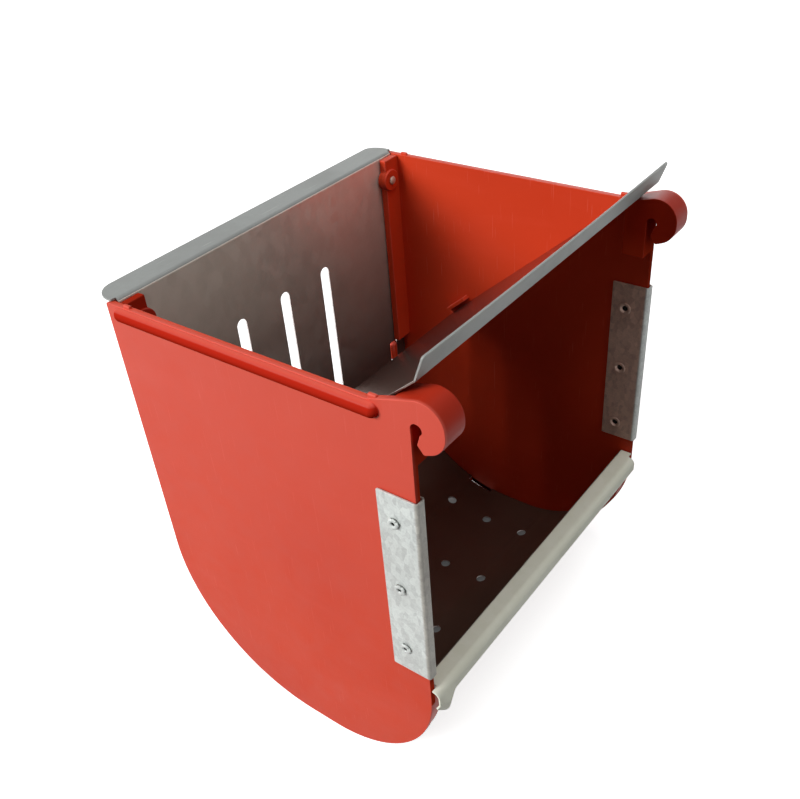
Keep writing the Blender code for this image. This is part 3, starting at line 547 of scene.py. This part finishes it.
def gets_painted_shade(side, place):
    """Whether a place on a panel, drawn for the left side, gets the red without reflection as painted
    shade: the bead's lower half, the front edge, the wire's seat and the left rear rib."""
    under_bead = place.x < -PANEL_OUTER - 0.05 and between(place.z, SHADED_BEAD)
    front_edge = abs(place.y) < 0.1 and between(place.z, SHADED_FRONT_EDGE)
    seat = math.hypot(place.y - WIRE_SEAT[0], place.z - WIRE_SEAT[1]) < WIRE_SEAT_RADIUS + 0.2
    rear_rib = side < 0 and place.x > -PANEL_INNER + 0.1 and between(place.y, SHADED_REAR_RIB)
    return under_bead or front_edge or seat or rear_rib


def between(value, limits):
    return limits[0] < value < limits[1]


def side_panel(side, hand, plastic, shaded_plastic):
    plate = carve(soften(panel_plate(), PANEL_EDGE), eyelet_bores(side))
    whole = gather([plate, panel_bead()] + panel_ribs() + panel_catch() + panel_nibs())
    # Places in shade get the copy of the red without reflection: painted shade
    for face in whole.faces:
        face.material_index = int(gets_painted_shade(side, face.calc_center_median()))
    add_piece(
        f"{hand}_moulded_panel", for_side(whole, side), [plastic, shaded_plastic], f"{hand}_side_panel",
    )


# Sheet pieces


def trough_cutters():
    """The cutters for the slots, drain holes, edge drains and catch windows."""
    cutters = []
    low, high = SLOT_HEIGHTS
    for x in SLOT_PLACES:
        slot = block((x - SLOT_HALF_WIDTH, 114.0, low), (x + SLOT_HALF_WIDTH, 121.0, high))
        upright = [edge for edge in slot.edges if abs(edge.verts[0].co.y - edge.verts[1].co.y) > 1]
        bmesh.ops.bevel(
            slot, geom=upright, offset=SLOT_HALF_WIDTH - 0.001, offset_type="OFFSET", segments=8,
            profile=0.5, affect="EDGES", clamp_overlap=True, material=-1,
        )
        cutters.append(slot)
    for x in DRAIN_COLUMNS:
        for y in DRAIN_ROWS:
            hole = round_bar((x, y, -PANEL_HEIGHT), DRAIN_RADIUS, 80.0, Matrix.Identity(4), 24)
            cutters.append(hole)
    for side in (-1.0, 1.0):
        edge_drain = sorted((side * (SHEET_EDGE - 2.3), side * (SHEET_EDGE + 1.0)))
        cutters.append(block((edge_drain[0], 68.9, -PANEL_HEIGHT), (edge_drain[1], 80.9, -90.0)))
        window = sorted((side * 61.6, side * 66.6))
        cutters.append(block((window[0], 114.0, -97.0), (window[1], 121.0, -86.5)))
    return cutters


def trough_surface():
    """The trough's middle surface: top flange, back wall, floor, front wall and rolled lip."""
    corners = [
        (FLANGE_EDGE, 0.0), ((BACK_SHEET, FLANGE_EDGE[1]), 1.2), ((BACK_SHEET, FLOOR_SHEET), 57.0),
        ((FRONT_SHEET, FLOOR_SHEET), 44.5), ((FRONT_SHEET, LIP_HEIGHT), 1.2), ((-0.6, LIP_HEIGHT), 0.0),
        ((-3.3, LIP_HEIGHT), 2.6), ((-3.3, -116.4), 1.4), (LIP_EDGE, 0.0),
    ]
    corners = [(Vector((-PANEL_OUTER, y, z)), radius) for (y, z), radius in corners]
    bm = folded_sheet(corners, (2 * PANEL_OUTER, 0.0, 0.0), FINE_ARC)
    cut_across(bm, (LIP_RIGHT_END, 0, 0), (1, 0, 0))
    drop_faces(bm, lambda centre: centre.x > LIP_RIGHT_END and centre.y < -0.6)
    for x in (-FLANGE_END, FLANGE_END):
        cut_across(bm, (x, 0, 0), (1, 0, 0))
    drop_faces(bm, lambda centre: abs(centre.x) > FLANGE_END and centre.y > BACK_SHEET)
    for x in (-FLANGE_END, FLANGE_END):
        round_corner(bm, Vector((x, *FLANGE_EDGE)), 8.0)
    for x in (-PANEL_OUTER, LIP_RIGHT_END):
        round_corner(bm, Vector((x, *LIP_EDGE)), 3.0)
    for x in (-SHEET_EDGE, SHEET_EDGE):
        cut_across(bm, (x, 0, 0), (1, 0, 0))
    drop_faces(bm, lambda centre: abs(centre.x) > SHEET_EDGE and -0.6 < centre.y < BACK_SHEET + 1.2)
    for step in range(11):
        cut_across(bm, (step - PANEL_OUTER, 0, 0), (1, 0, 0))
    return bm


def drop_faces(bm, unwanted):
    """Takes away the faces whose middle is unwanted."""
    faces = [face for face in bm.faces if unwanted(face.calc_center_median())]
    bmesh.ops.delete(bm, geom=faces, context="FACES")


def open_lip_end(bm):
    """Bulges the lip's return outwards near its left end, which leaves the fold open there."""
    inner_reach, outer_reach = 6.0, 4.5
    top, length = LIP_HEIGHT - 2.0, 7.0
    for vert in bm.verts:
        if vert.co.y > 0 or vert.co.z > top or vert.co.x > LIP_BULGE + inner_reach:
            continue
        reach = inner_reach if vert.co.x > LIP_BULGE else outer_reach
        bulge = 0.5 + 0.5 * math.cos(math.pi * min(1.0, abs(vert.co.x - LIP_BULGE) / reach))
        drop = min(1.0, (top - vert.co.z) / length)
        vert.co.y -= 2.6 * bulge * drop
        vert.co.z -= 1.2 * bulge * drop


def trough(dull, cut_edge, flange, lip):
    bm = trough_surface()
    open_lip_end(bm)
    bm = soften(carve(thicken(bm, SHEET), trough_cutters()), 0.1, 2, 60.0)
    # The flange and the lip get shaded and lit copies of the zinc
    for face in bm.faces:
        place = face.calc_center_median()
        if face.material_index == 0 and place.z > 0.0:
            face.material_index = 2
        elif face.material_index == 0 and place.y < 4.0:
            face.material_index = 3
    add_piece("folded_trough", bm, [dull, cut_edge, flange, lip], "trough_sheet")


def baffle(slope, cut_edge, flange):
    corners = [(BAFFLE_TOP, 0.0), (BAFFLE_BEND, 1.5), (BAFFLE_END, 0.0)]
    corners = [(Vector((-BAFFLE_HALF, y, z)), radius) for (y, z), radius in corners]
    bm = folded_sheet(corners, (2 * BAFFLE_HALF, 0.0, 0.0))
    round_corner(bm, Vector((-BAFFLE_HALF, *BAFFLE_TOP)), 1.0)
    round_corner(bm, Vector((BAFFLE_HALF, *BAFFLE_TOP)), 2.5)
    for step in range(1, 24):
        cut_across(bm, (6.0 * step - BAFFLE_HALF, 0, 0), (1, 0, 0))
    for vert in bm.verts:
        if vert.co.z > BAFFLE_TOP[1] - 0.01:
            sag = math.cos(math.pi * vert.co.x / (2 * BAFFLE_HALF))
            vert.co.z -= BAFFLE_SAG[1] * sag
            vert.co.y += BAFFLE_SAG[0] * sag
    bm = soften(thicken(bm, SHEET), SHEET_BURR, 2, 60.0)
    # The flange and the slope get shaded copies of the zinc
    for face in bm.faces:
        place = face.calc_center_median()
        on_flange = place.z > BAFFLE_BEND[1] - 0.5 and place.y < BAFFLE_BEND[0]
        if on_flange and (face.material_index == 0 or abs(place.x) < BAFFLE_HALF - 1.2):
            face.material_index = 2
    add_piece("sloping_baffle", bm, [slope, cut_edge, flange], "baffle_sheet")


def edge_guard(side, hand, bright, cut_edge):
    top = GUARD_TOP - guard_drop(side)
    (outer, inner), (front, back) = GUARD_LEGS, GUARD_REACH
    corners = [((outer, back), 0.0), ((outer, front), 0.8), ((inner, front), 0.8), ((inner, back), 0.0)]
    corners = [(Vector((-x, y, top)), radius) for (x, y), radius in corners]
    bm = folded_sheet(corners, (0.0, 0.0, GUARD_BOTTOM - top), 12.0)
    for x in GUARD_LEGS:
        for z in (top, GUARD_BOTTOM):
            round_corner(bm, Vector((-x, back, z)), 0.5)
    bm = soften(carve(thicken(bm, SHEET), eyelet_bores(side)), SHEET_BURR, 2, 60.0)
    add_piece(
        f"{hand}_folded_guard", for_side(bm, side), [bright, cut_edge], f"{hand}_edge_guard",
    )


# Eyelets and rivets


def turned(profile):
    """A closed (radius, height) profile turned round Z."""
    bm = bmesh.new()
    verts = [bm.verts.new((radius, 0.0, height)) for radius, height in profile]
    edges = [bm.edges.new((verts[index - 1], verts[index])) for index in range(len(verts))]
    bmesh.ops.spin(
        bm, geom=verts + edges, cent=(0, 0, 0), axis=(0, 0, 1), angle=2 * math.pi, steps=48,
        use_merge=True,
    )
    bmesh.ops.remove_doubles(bm, verts=bm.verts, dist=0.0005)
    bmesh.ops.dissolve_degenerate(bm, edges=bm.edges, dist=0.0005)
    bmesh.ops.recalc_face_normals(bm, faces=bm.faces)
    return bm


def crumple_petals(bm, seed):
    """Splits the folded rim into petals of uneven length that stand off the guard."""
    draw = random.Random(seed)
    petals = [(draw.uniform(0.75, 1.0), draw.uniform(0.0, 0.35)) for _ in range(PETALS)]
    share = 360.0 / PETALS
    offset = draw.uniform(0.0, share)
    for vert in bm.verts:
        radius = math.hypot(vert.co.x, vert.co.y)
        if vert.co.z < EYELET_OUTER_FACE - 0.01 or radius < PETAL_ROOT:
            continue
        angle = (math.degrees(math.atan2(vert.co.y, vert.co.x)) + offset) % 360
        length, lift = petals[int(angle // share) % PETALS]
        middle = 1.0 - abs(angle % share - share / 2) / (share / 2)
        reach = min(1.0, 2.4 * middle) * length
        kept = PETAL_ROOT + (radius - PETAL_ROOT) * (0.08 + 0.92 * reach)
        vert.co.x *= kept / radius
        vert.co.y *= kept / radius
        vert.co.z += lift * reach * (radius - PETAL_ROOT) / 0.6


def guard_eyelet(side, hand, level, bright, dark_bore, seed):
    """A hollow eyelet: a funnel head inside, and an outer end split and folded into petals."""
    inner, outer = EYELET_INNER_FACE, EYELET_OUTER_FACE
    profile = [
        (1.5, inner), (2.35, inner), (2.5, inner - 0.1), (2.45, inner - 0.3), (2.15, inner - 0.42),
        (1.7, inner - 0.36), (1.3, inner - 0.12), (1.08, inner + 0.3), (1.0, inner + 0.9),
        (0.95, outer - 0.3), (0.62, outer + 0.15), (0.72, outer + 0.45), (1.1, outer + 0.62),
        (1.6, outer + 0.58), (1.9, outer + 0.42), (2.1, outer + 0.26), (2.12, outer + 0.08),
        (2.0, outer), (1.5, outer),
    ]
    bm = turned(profile)
    # The bore's wall gets the dark finish: partly oxide and partly painted shade
    for face in bm.faces:
        place = face.calc_center_median()
        if math.hypot(place.x, place.y) < 1.15 and inner < place.z < outer + 0.1:
            face.material_index = 1
    crumple_petals(bm, seed)
    turn = Matrix.Rotation(-math.pi / 2, 4, "Y")
    height = EYELET_HEIGHTS[level] - guard_drop(side)
    bm.transform(Matrix.Translation((0.0, EYELET_SETBACK, height)) @ turn)
    add_piece(
        f"{hand}_pressed_eyelet_{level}", for_side(bm, side), [bright, dark_bore],
        f"{hand}_guard_eyelet_{level}",
    )


def corner_rivet(side, hand, bright):
    """A small domed rivet through the rear bosses and the back sheet."""
    front, back = 112.6, 120.4
    dome = [(1.7 * math.cos(math.radians(angle)), front - 0.8 * math.sin(math.radians(angle)))
            for angle in (90, 75, 60, 45, 30, 15, 0)]
    tail = [(1.0, front), (1.0, back), (1.7, back), (1.36, back + 0.5), (0.0, back + 0.6)]
    bm = turned(dome + tail)
    turn = Matrix.Rotation(-math.pi / 2, 4, "X")
    bm.transform(Matrix.Translation((-RIVET_X, 0.0, RIVET_Z)) @ turn)
    add_piece(
        f"{hand}_domed_rivet", for_side(bm, side), [bright], f"{hand}_corner_rivet",
    )


# Finishes


class Finish:
    """A material in the making, with short calls for the nodes that finishes share."""

    def __init__(self, name, metallic, specular):
        self.material = bpy.data.materials.new(name)
        self.material.use_nodes = True
        self.tree = self.material.node_tree
        self.shader = self.tree.nodes["Principled BSDF"]
        self.shader.inputs["Metallic"].default_value = metallic
        self.shader.inputs["Specular IOR Level"].default_value = specular
        self.place = self.tree.nodes.new("ShaderNodeTexCoord").outputs["Object"]

    def feed(self, socket, value):
        """Links an output to a socket, or sets the socket to a plain value."""
        if isinstance(value, bpy.types.NodeSocket):
            self.tree.links.new(value, socket)
        elif isinstance(value, tuple) and len(value) == 3 and socket.type == "RGBA":
            socket.default_value = (*value, 1.0)
        else:
            socket.default_value = value

    def mapped(self, stretch, turn=(0.0, 0.0, 0.0)):
        """Object coordinates turned by degrees, then stretched."""
        mapping = self.tree.nodes.new("ShaderNodeMapping")
        mapping.inputs["Rotation"].default_value = [math.radians(angle) for angle in turn]
        mapping.inputs["Scale"].default_value = stretch
        self.feed(mapping.inputs["Vector"], self.place)
        return mapping.outputs["Vector"]

    def noise(self, scale, detail=2.0, rough=0.5, vector=None, distortion=0.0):
        node = self.tree.nodes.new("ShaderNodeTexNoise")
        self.feed(node.inputs["Vector"], vector or self.place)
        node.inputs["Scale"].default_value = scale
        node.inputs["Detail"].default_value = detail
        node.inputs["Roughness"].default_value = rough
        node.inputs["Distortion"].default_value = distortion
        return node.outputs["Fac"]

    def cells(self, scale, vector=None):
        """One random grey per spangle."""
        node = self.tree.nodes.new("ShaderNodeTexVoronoi")
        self.feed(node.inputs["Vector"], vector or self.place)
        node.inputs["Scale"].default_value = scale
        grey = self.tree.nodes.new("ShaderNodeSeparateColor")
        self.feed(grey.inputs["Color"], node.outputs["Color"])
        return grey.outputs["Red"]

    def span(self, value, low, high, to_low=0.0, to_high=1.0):
        """Maps a value from one range to another, clamped. The first range may run backwards."""
        node = self.tree.nodes.new("ShaderNodeMapRange")
        for name, given in zip(("Value", "From Min", "From Max", "To Min", "To Max"),
                               (value, low, high, to_low, to_high)):
            self.feed(node.inputs[name], given)
        return node.outputs["Result"]

    def math(self, operation, first, second):
        node = self.tree.nodes.new("ShaderNodeMath")
        node.operation = operation
        self.feed(node.inputs[0], first)
        self.feed(node.inputs[1], second)
        return node.outputs[0]

    def product(self, first, *others):
        """Values multiplied together. Only the first has to be an output."""
        for other in others:
            first = self.math("MULTIPLY", first, other)
        return first

    def weighted(self, first, *others):
        """The sum of (output, weight) pairs."""
        total = self.product(*first)
        for pair in others:
            total = self.math("ADD", total, self.product(*pair))
        return total

    def blend(self, share, first, second, how="MIX"):
        """Mixes two colours by a share."""
        node = self.tree.nodes.new("ShaderNodeMix")
        node.data_type = "RGBA"
        node.blend_type = how
        self.feed(node.inputs[0], share)
        self.feed(node.inputs[6], first)
        self.feed(node.inputs[7], second)
        return node.outputs[2]

    def layered(self, colour, layers):
        """A colour with (share, colour) layers mixed over it, one after another."""
        for share, over in layers:
            colour = self.blend(share, colour, over)
        return colour

    def crests_and_corners(self):
        """The worn crests and the inner corners of rounded edges, as two values."""
        node = self.tree.nodes.new("ShaderNodeAttribute")
        node.attribute_name = "crests_and_corners"
        value = node.outputs["Fac"]
        return self.span(value, 0.0, 1.0), self.span(value, 0.0, -1.0)

    def along(self, axis):
        """The place along X, Y or Z in metres: Z is the height above the floor."""
        split = self.tree.nodes.new("ShaderNodeSeparateXYZ")
        self.feed(split.inputs[0], self.place)
        return split.outputs[axis]

    def from_middle(self, low, high):
        """How far a place is from low to high, measured across from the feeder's middle."""
        return self.span(self.math("ABSOLUTE", self.along("X"), 0.0), low, high)

    def facing_up(self, low, high):
        """How far the surface faces up. Limits that run down from 0 tell how far it faces down."""
        node = self.tree.nodes.new("ShaderNodeNewGeometry")
        split = self.tree.nodes.new("ShaderNodeSeparateXYZ")
        self.feed(split.inputs[0], node.outputs["Normal"])
        return self.span(split.outputs["Z"], low, high)

    def bump(self, height, distance, strength, under=None):
        node = self.tree.nodes.new("ShaderNodeBump")
        node.inputs["Strength"].default_value = strength
        node.inputs["Distance"].default_value = distance
        self.feed(node.inputs["Height"], height)
        if under:
            self.feed(node.inputs["Normal"], under)
        return node.outputs["Normal"]

    def done(self, colour, roughness, normal):
        self.feed(self.shader.inputs["Base Color"], colour)
        self.feed(self.shader.inputs["Roughness"], roughness)
        self.feed(self.shader.inputs["Normal"], normal)
        return self.material


def moulded_red(name, specular):
    """Satin moulded plastic: faint flow marks, fine grain, hair scratches, paler worn edges, painted
    shade in the inner corners, and painted sheen and shade in set places.
    """
    finish = Finish(name, 0.0, specular)
    broad = finish.noise(14.0, 2.0, 0.5)
    flow = finish.noise(60.0, 3.0, 0.55, finish.mapped((1.0, 0.35, 1.6), (12.0, 0.0, 0.0)), 0.6)
    grain = finish.noise(2600.0, 2.0, 0.6)
    scuffs = finish.noise(110.0, 4.0, 0.65, None, 0.4)
    hairs = finish.noise(90.0, 1.0, 0.4, finish.mapped((1.0, 22.0, 0.7), (38.0, 0.0, 0.0)))
    more_hairs = finish.noise(70.0, 1.0, 0.4, finish.mapped((1.0, 26.0, 0.8), (-57.0, 0.0, 0.0)))
    scratch = finish.math(
        "MAXIMUM", finish.span(hairs, 0.735, 0.76), finish.span(more_hairs, 0.745, 0.77),
    )
    worn, corner = finish.crests_and_corners()
    rubbed = finish.product(worn, finish.span(scuffs, 0.38, 0.62, 0.15, 0.75))
    dusty = finish.product(finish.facing_up(0.35, 1.0), finish.span(scuffs, 0.4, 0.7, 0.03, 0.14))

    colour = finish.blend(finish.span(broad, 0.35, 0.65), RED, DEEPER_RED)
    colour = finish.layered(colour, (
        (finish.span(flow, 0.52, 0.78, 0.0, 0.30), FLOW_RED),
        (finish.span(grain, 0.3, 0.8, 0.0, 0.10), GRAIN_RED),
        (finish.product(scratch, 0.30), SCRATCHED_RED),
        (rubbed, RUBBED_RED),
        # painted shade in the inner corners
        (finish.product(corner, 0.6), CORNER_SHADE_RED),
        (dusty, DUSTY_RED),
    ))
    # Painted sheen and painted shade in set places
    colour = painted_light_on_red(finish, colour)

    roughness = finish.span(scuffs, 0.3, 0.7, 0.40, 0.50)
    roughness = finish.math("ADD", roughness, finish.product(scratch, 0.12))
    normal = finish.bump(finish.noise(26.0, 1.0, 0.4), 0.0006, 0.35)
    normal = finish.bump(grain, 0.00004, 0.5, normal)
    normal = finish.bump(scratch, -0.00004, 0.4, normal)
    return finish.done(colour, roughness, normal)


def painted_light_on_red(finish, colour):
    """Painted light on the red: a painted sheen on the outer faces, paler towards the top, and painted
    shade on the hooks, the beads' undersides, the left rear rib and on undersides."""
    across, depth, height = (finish.along(axis) for axis in "XYZ")
    outer_faces = finish.from_middle(0.0735, 0.0745)
    inside_outer_faces = finish.from_middle(0.0746, 0.0738)
    beads = finish.from_middle(0.0751, 0.0753)
    inside_walls = finish.from_middle(0.0729, 0.0726)
    # painted shade on the hooks
    on_hook = finish.product(
        finish.span(depth, -0.048, -0.052), finish.span(height, 0.148, 0.158),
        inside_outer_faces, 0.85,
    )
    # painted shade on the left rear rib
    on_rear_rib = finish.product(
        finish.span(depth, 0.0530, 0.0540), finish.span(height, 0.10, 0.15),
        finish.span(across, -0.060, -0.062), inside_walls, 0.8,
    )
    return finish.layered(colour, (
        # painted sheen, paler towards the top of the outer faces
        (finish.product(finish.span(height, 0.05, 0.165, 0.0, 0.48), outer_faces), PAINTED_SHEEN_RED),
        (on_hook, HOOK_SHADE_RED),
        # painted shade on the beads' lower halves
        (finish.product(finish.span(height, 0.1652, 0.1641), beads, 0.97), UNDER_BEAD_SHADE_RED),
        (on_rear_rib, REAR_RIB_SHADE_RED),
        # painted shade on faces that look down
        (finish.product(finish.facing_up(0.0, -0.55), 0.9), UNDERSIDE_SHADE_RED),
    ))


def zinc(name, metallic, tones, rough, cell_scale=300.0, contrast=0.45, shade_downwards=0.0, relief=1.0,
         on_guards=False):
    """Galvanised sheet: spangles of uneven tone, rolling streaks, dull stains and fine scratches.
    Tones are dark, light and stained. A share of painted shade darkens the sheet downwards, where it
    also turns browner near the very bottom; a relief under 1 evens it out, and the guards get painted
    light of their own."""
    dark, light, stain = tones
    finish = Finish(name, metallic, 0.4)
    wander = finish.noise(260.0, 2.0, 0.5)
    spangle = finish.cells(cell_scale, finish.mapped((1.0, 1.0, 0.62)))
    small = finish.cells(cell_scale * 2.3)
    mottle = finish.noise(cell_scale * 2.0, 3.0, 0.6)
    streaks = finish.noise(500.0, 2.0, 0.5, finish.mapped((0.05, 1.0, 1.0)))
    patches = finish.noise(22.0, 3.0, 0.6, None, 0.8)
    hairs = finish.noise(120.0, 1.0, 0.4, finish.mapped((0.6, 18.0, 3.0), (30.0, 0.0, 20.0)))
    worn, corner = finish.crests_and_corners()

    tone = finish.weighted((spangle, 0.5), (small, 0.2), (mottle, 0.5), (wander, 0.1))
    colour = finish.blend(finish.span(tone, 0.65 - contrast, 0.65 + contrast), dark, light)
    colour = finish.layered(colour, (
        (finish.span(streaks, 0.45, 0.75, 0.0, 0.22), light),
        (finish.span(patches, 0.50, 0.72, 0.0, 0.38), stain),
        (finish.product(finish.span(hairs, 0.73, 0.78), 0.16 * relief), SCRATCHED_ZINC),
        (finish.product(worn, 0.55), WORN_ZINC),
        (finish.product(corner, 0.4), stain),
    ))
    if shade_downwards:
        # painted shade, darker downwards, and browner near the very bottom
        height = finish.along("Z")
        colour = finish.layered(colour, (
            (finish.span(height, 0.158, 0.075, 0.0, shade_downwards), DOWNWARD_SHADE),
            (finish.span(height, 0.05, 0.01, 0.0, 0.55), BOTTOM_BROWN),
        ))
    if on_guards:
        colour = guards_painted_light(finish, colour)

    roughness = finish.span(spangle, 0.0, 1.0, rough, rough + 0.10 * relief)
    roughness = finish.math("ADD", roughness, finish.span(patches, 0.45, 0.7, 0.0, 0.10 * relief))
    normal = finish.bump(finish.noise(38.0, 2.0, 0.5), 0.0004, 0.30 * relief)
    normal = finish.bump(spangle, 0.00001, 0.25 * relief, normal)
    normal = finish.bump(mottle, 0.00001, 0.3 * relief, normal)
    return finish.done(colour, roughness, normal)


def guards_painted_light(finish, colour):
    """Zinc with painted light on the guards: a red tint on the inner legs for light thrown back by the
    red panels, and painted shade on the left guard's web.
    """
    across, depth = finish.along("X"), finish.along("Y")
    behind_web = finish.span(depth, -0.0590, -0.0583)
    inner_leg = finish.product(finish.from_middle(0.0735, 0.0728), behind_web)
    colour = finish.blend(inner_leg, colour, INNER_LEG_BOUNCE_TINT, "MULTIPLY")
    left_web = finish.product(
        finish.span(depth, -0.0583, -0.0590), finish.span(across, 0.01, -0.01),
    )
    return finish.blend(left_web, colour, LEFT_WEB_SHADE_TINT, "MULTIPLY")


def sheared_edge():
    """The sheet's cut edge: bare steel with fine shear marks, its brightness partly a painted highlight
    along the edges.
    """
    finish = Finish("sheared_edge", 0.2, 0.4)
    marks = finish.noise(900.0, 2.0, 0.5, finish.mapped((1.0, 1.0, 0.3)))
    broad = finish.noise(60.0, 2.0, 0.5)
    colour = finish.blend(finish.span(marks, 0.35, 0.65), (0.70, 0.65, 0.63), (0.88, 0.83, 0.81))
    colour = finish.blend(finish.span(broad, 0.45, 0.7, 0.0, 0.3), colour, (0.52, 0.46, 0.43))
    normal = finish.bump(marks, 0.00004, 0.5)
    return finish.done(colour, finish.span(marks, 0.3, 0.7, 0.34, 0.46), normal)


def dark_bore_wall():
    """The dark wall of an eyelet's bore: partly dark oxide, partly painted shade inside the bore."""
    finish = Finish("dark_bore_wall", 0.3, 0.2)
    marks = finish.noise(1400.0, 3.0, 0.6)
    colour = finish.blend(
        finish.span(marks, 0.35, 0.65), (0.020, 0.017, 0.015), (0.060, 0.054, 0.048),
    )
    normal = finish.bump(marks, 0.00004, 0.5)
    return finish.done(colour, finish.span(marks, 0.3, 0.7, 0.55, 0.7), normal)


# Studio


def make_camera():
    data = bpy.data.cameras.new("camera")
    data.lens = LENS
    data.sensor_width = 36.0
    data.shift_x, data.shift_y = CAMERA_SHIFT
    data.clip_start = 0.01
    camera = bpy.data.objects.new("camera", data)
    bpy.context.scene.collection.objects.link(camera)
    camera.location = CAMERA_PLACE
    camera.rotation_euler = Euler([math.radians(angle) for angle in CAMERA_TURN])
    bpy.context.scene.camera = camera


def softbox(name, place, size, power):
    """A square area light that faces the feeder."""
    data = bpy.data.lights.new(name, "AREA")
    data.shape = "RECTANGLE"
    data.size = data.size_y = size
    data.energy = power
    lamp = bpy.data.objects.new(name, data)
    bpy.context.scene.collection.objects.link(lamp)
    lamp.location = place
    aim = Vector(LIGHT_AIM) - Vector(place)
    lamp.rotation_euler = aim.to_track_quat("-Z", "Y").to_euler()


def combined(tree, operation, first, second):
    """Two values put together by a Math node; the second may be a plain number."""
    node = tree.nodes.new("ShaderNodeMath")
    node.operation = operation
    tree.links.new(first, node.inputs[0])
    if isinstance(second, bpy.types.NodeSocket):
        tree.links.new(second, node.inputs[1])
    else:
        node.inputs[1].default_value = second
    return node.outputs[0]


def ranged(tree, value, low, high, start=0.0, end=1.0):
    """Maps a value that runs from start to end to one that runs from low to high."""
    node = tree.nodes.new("ShaderNodeMapRange")
    node.inputs["From Min"].default_value = start
    node.inputs["From Max"].default_value = end
    node.inputs["To Min"].default_value = low
    node.inputs["To Max"].default_value = high
    tree.links.new(value, node.inputs["Value"])
    return node.outputs["Result"]


def seen_directly(tree):
    """1 on camera, glossy and transmission rays, 0 on all others."""
    path = tree.nodes.new("ShaderNodeLightPath")
    total = combined(tree, "MAXIMUM", path.outputs["Is Camera Ray"], path.outputs["Is Glossy Ray"])
    return combined(tree, "MAXIMUM", total, path.outputs["Is Transmission Ray"])


def make_world():
    world = bpy.data.worlds.new("studio")
    world.use_nodes = True
    bpy.context.scene.world = world
    tree = world.node_tree
    background = tree.nodes["Background"]
    background.inputs["Color"].default_value = (1.0, 1.0, 1.0, 1.0)
    level = ranged(tree, seen_directly(tree), WORLD_FILL, 1.0)
    tree.links.new(level, background.inputs["Strength"])


def floor_shade(tree, place):
    """1 on the floor right under the feeder, falling to 0 around it."""
    split = tree.nodes.new("ShaderNodeSeparateXYZ")
    tree.links.new(place, split.inputs[0])
    from_middle = combined(tree, "ABSOLUTE", split.outputs["X"], 0.0)
    shade = ranged(tree, from_middle, 1.0, 0.0, *FLOOR_SHADE_SIDE)
    behind_front = ranged(tree, split.outputs["Y"], 0.0, 1.0, *FLOOR_SHADE_FRONT)
    before_back = ranged(tree, split.outputs["Y"], 1.0, 0.0, *FLOOR_SHADE_BACK)
    return combined(tree, "MULTIPLY", combined(tree, "MULTIPLY", shade, behind_front), before_back)


def make_floor():
    """A paper floor that glows where it is seen, so that it fades into the white background."""
    bm = bmesh.new()
    bmesh.ops.create_grid(bm, x_segments=1, y_segments=1, size=4.0)
    floor = raw_object("floor", bm)
    material = bpy.data.materials.new("floor_paper")
    material.use_nodes = True
    tree = material.node_tree
    shader = tree.nodes["Principled BSDF"]
    shader.inputs["Roughness"].default_value = 0.9
    shader.inputs["Specular IOR Level"].default_value = 0.0
    shader.inputs["Emission Color"].default_value = (1.0, 1.0, 1.0, 1.0)
    place = tree.nodes.new("ShaderNodeTexCoord").outputs["Object"]
    distance = tree.nodes.new("ShaderNodeVectorMath")
    distance.operation = "LENGTH"
    tree.links.new(place, distance.inputs[0])
    seen = seen_directly(tree)
    shade = floor_shade(tree, place)
    far_glow = ranged(tree, distance.outputs["Value"], 0.0, FLOOR_FAR_GLOW, *FLOOR_FAR)
    glow = combined(tree, "ADD", ranged(tree, shade, *FLOOR_GLOW), far_glow)
    tree.links.new(combined(tree, "MULTIPLY", glow, seen), shader.inputs["Emission Strength"])
    grey = combined(tree, "MULTIPLY", ranged(tree, shade, *FLOOR_GREY), seen)
    tree.links.new(combined(tree, "MAXIMUM", grey, FLOOR_BOUNCE), shader.inputs["Base Color"])
    floor.data.materials.append(material)


def make_studio():
    bpy.context.scene.view_settings.view_transform = "Standard"
    make_camera()
    make_world()
    make_floor()
    for name, place, size, power in SOFTBOXES:
        softbox(name, place, size, power)


def make_feeder():
    plastic = moulded_red("moulded_red", 0.14)
    # A copy of the red without reflection, for the places painted in shade
    shaded_plastic = moulded_red("unreflective_red_for_shade", 0.0)
    # Lit and shaded copies of one zinc: painted shade on flanges and slope, painted light on the lip
    dull = zinc("dull_zinc", 0.50, DULL_TONES, 0.30, shade_downwards=0.90)
    slope = zinc("slope_zinc", 0.85, SLOPE_TONES, 0.18, relief=0.08)
    # painted red reflection on the slope
    slope.node_tree.nodes["Principled BSDF"].inputs["Specular Tint"].default_value = SLOPE_REFLECTION_TINT
    flange = zinc("flange_zinc", 0.25, FLANGE_TONES, 0.44)
    lip = zinc("lip_zinc", 0.05, LIP_TONES, 0.44)
    bright = zinc("bright_spangle", 0.15, BRIGHT_TONES, 0.40, 620.0, 0.32, on_guards=True)
    cut_edge = sheared_edge()
    dark_bore = dark_bore_wall()
    for index, (side, hand) in enumerate(((-1, "left"), (1, "right"))):
        side_panel(side, hand, plastic, shaded_plastic)
        edge_guard(side, hand, bright, cut_edge)
        corner_rivet(side, hand, bright)
        for row, level in enumerate(EYELET_HEIGHTS):
            guard_eyelet(side, hand, level, bright, dark_bore, 3 * index + row + 1)
    trough(dull, cut_edge, flange, lip)
    baffle(slope, cut_edge, flange)


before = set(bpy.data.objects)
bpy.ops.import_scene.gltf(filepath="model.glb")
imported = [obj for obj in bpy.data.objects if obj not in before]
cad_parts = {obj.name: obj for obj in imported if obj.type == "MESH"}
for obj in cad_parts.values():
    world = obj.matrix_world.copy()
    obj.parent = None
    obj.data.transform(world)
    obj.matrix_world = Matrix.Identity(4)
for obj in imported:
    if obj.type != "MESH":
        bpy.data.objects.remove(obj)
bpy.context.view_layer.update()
make_studio()
make_feeder()
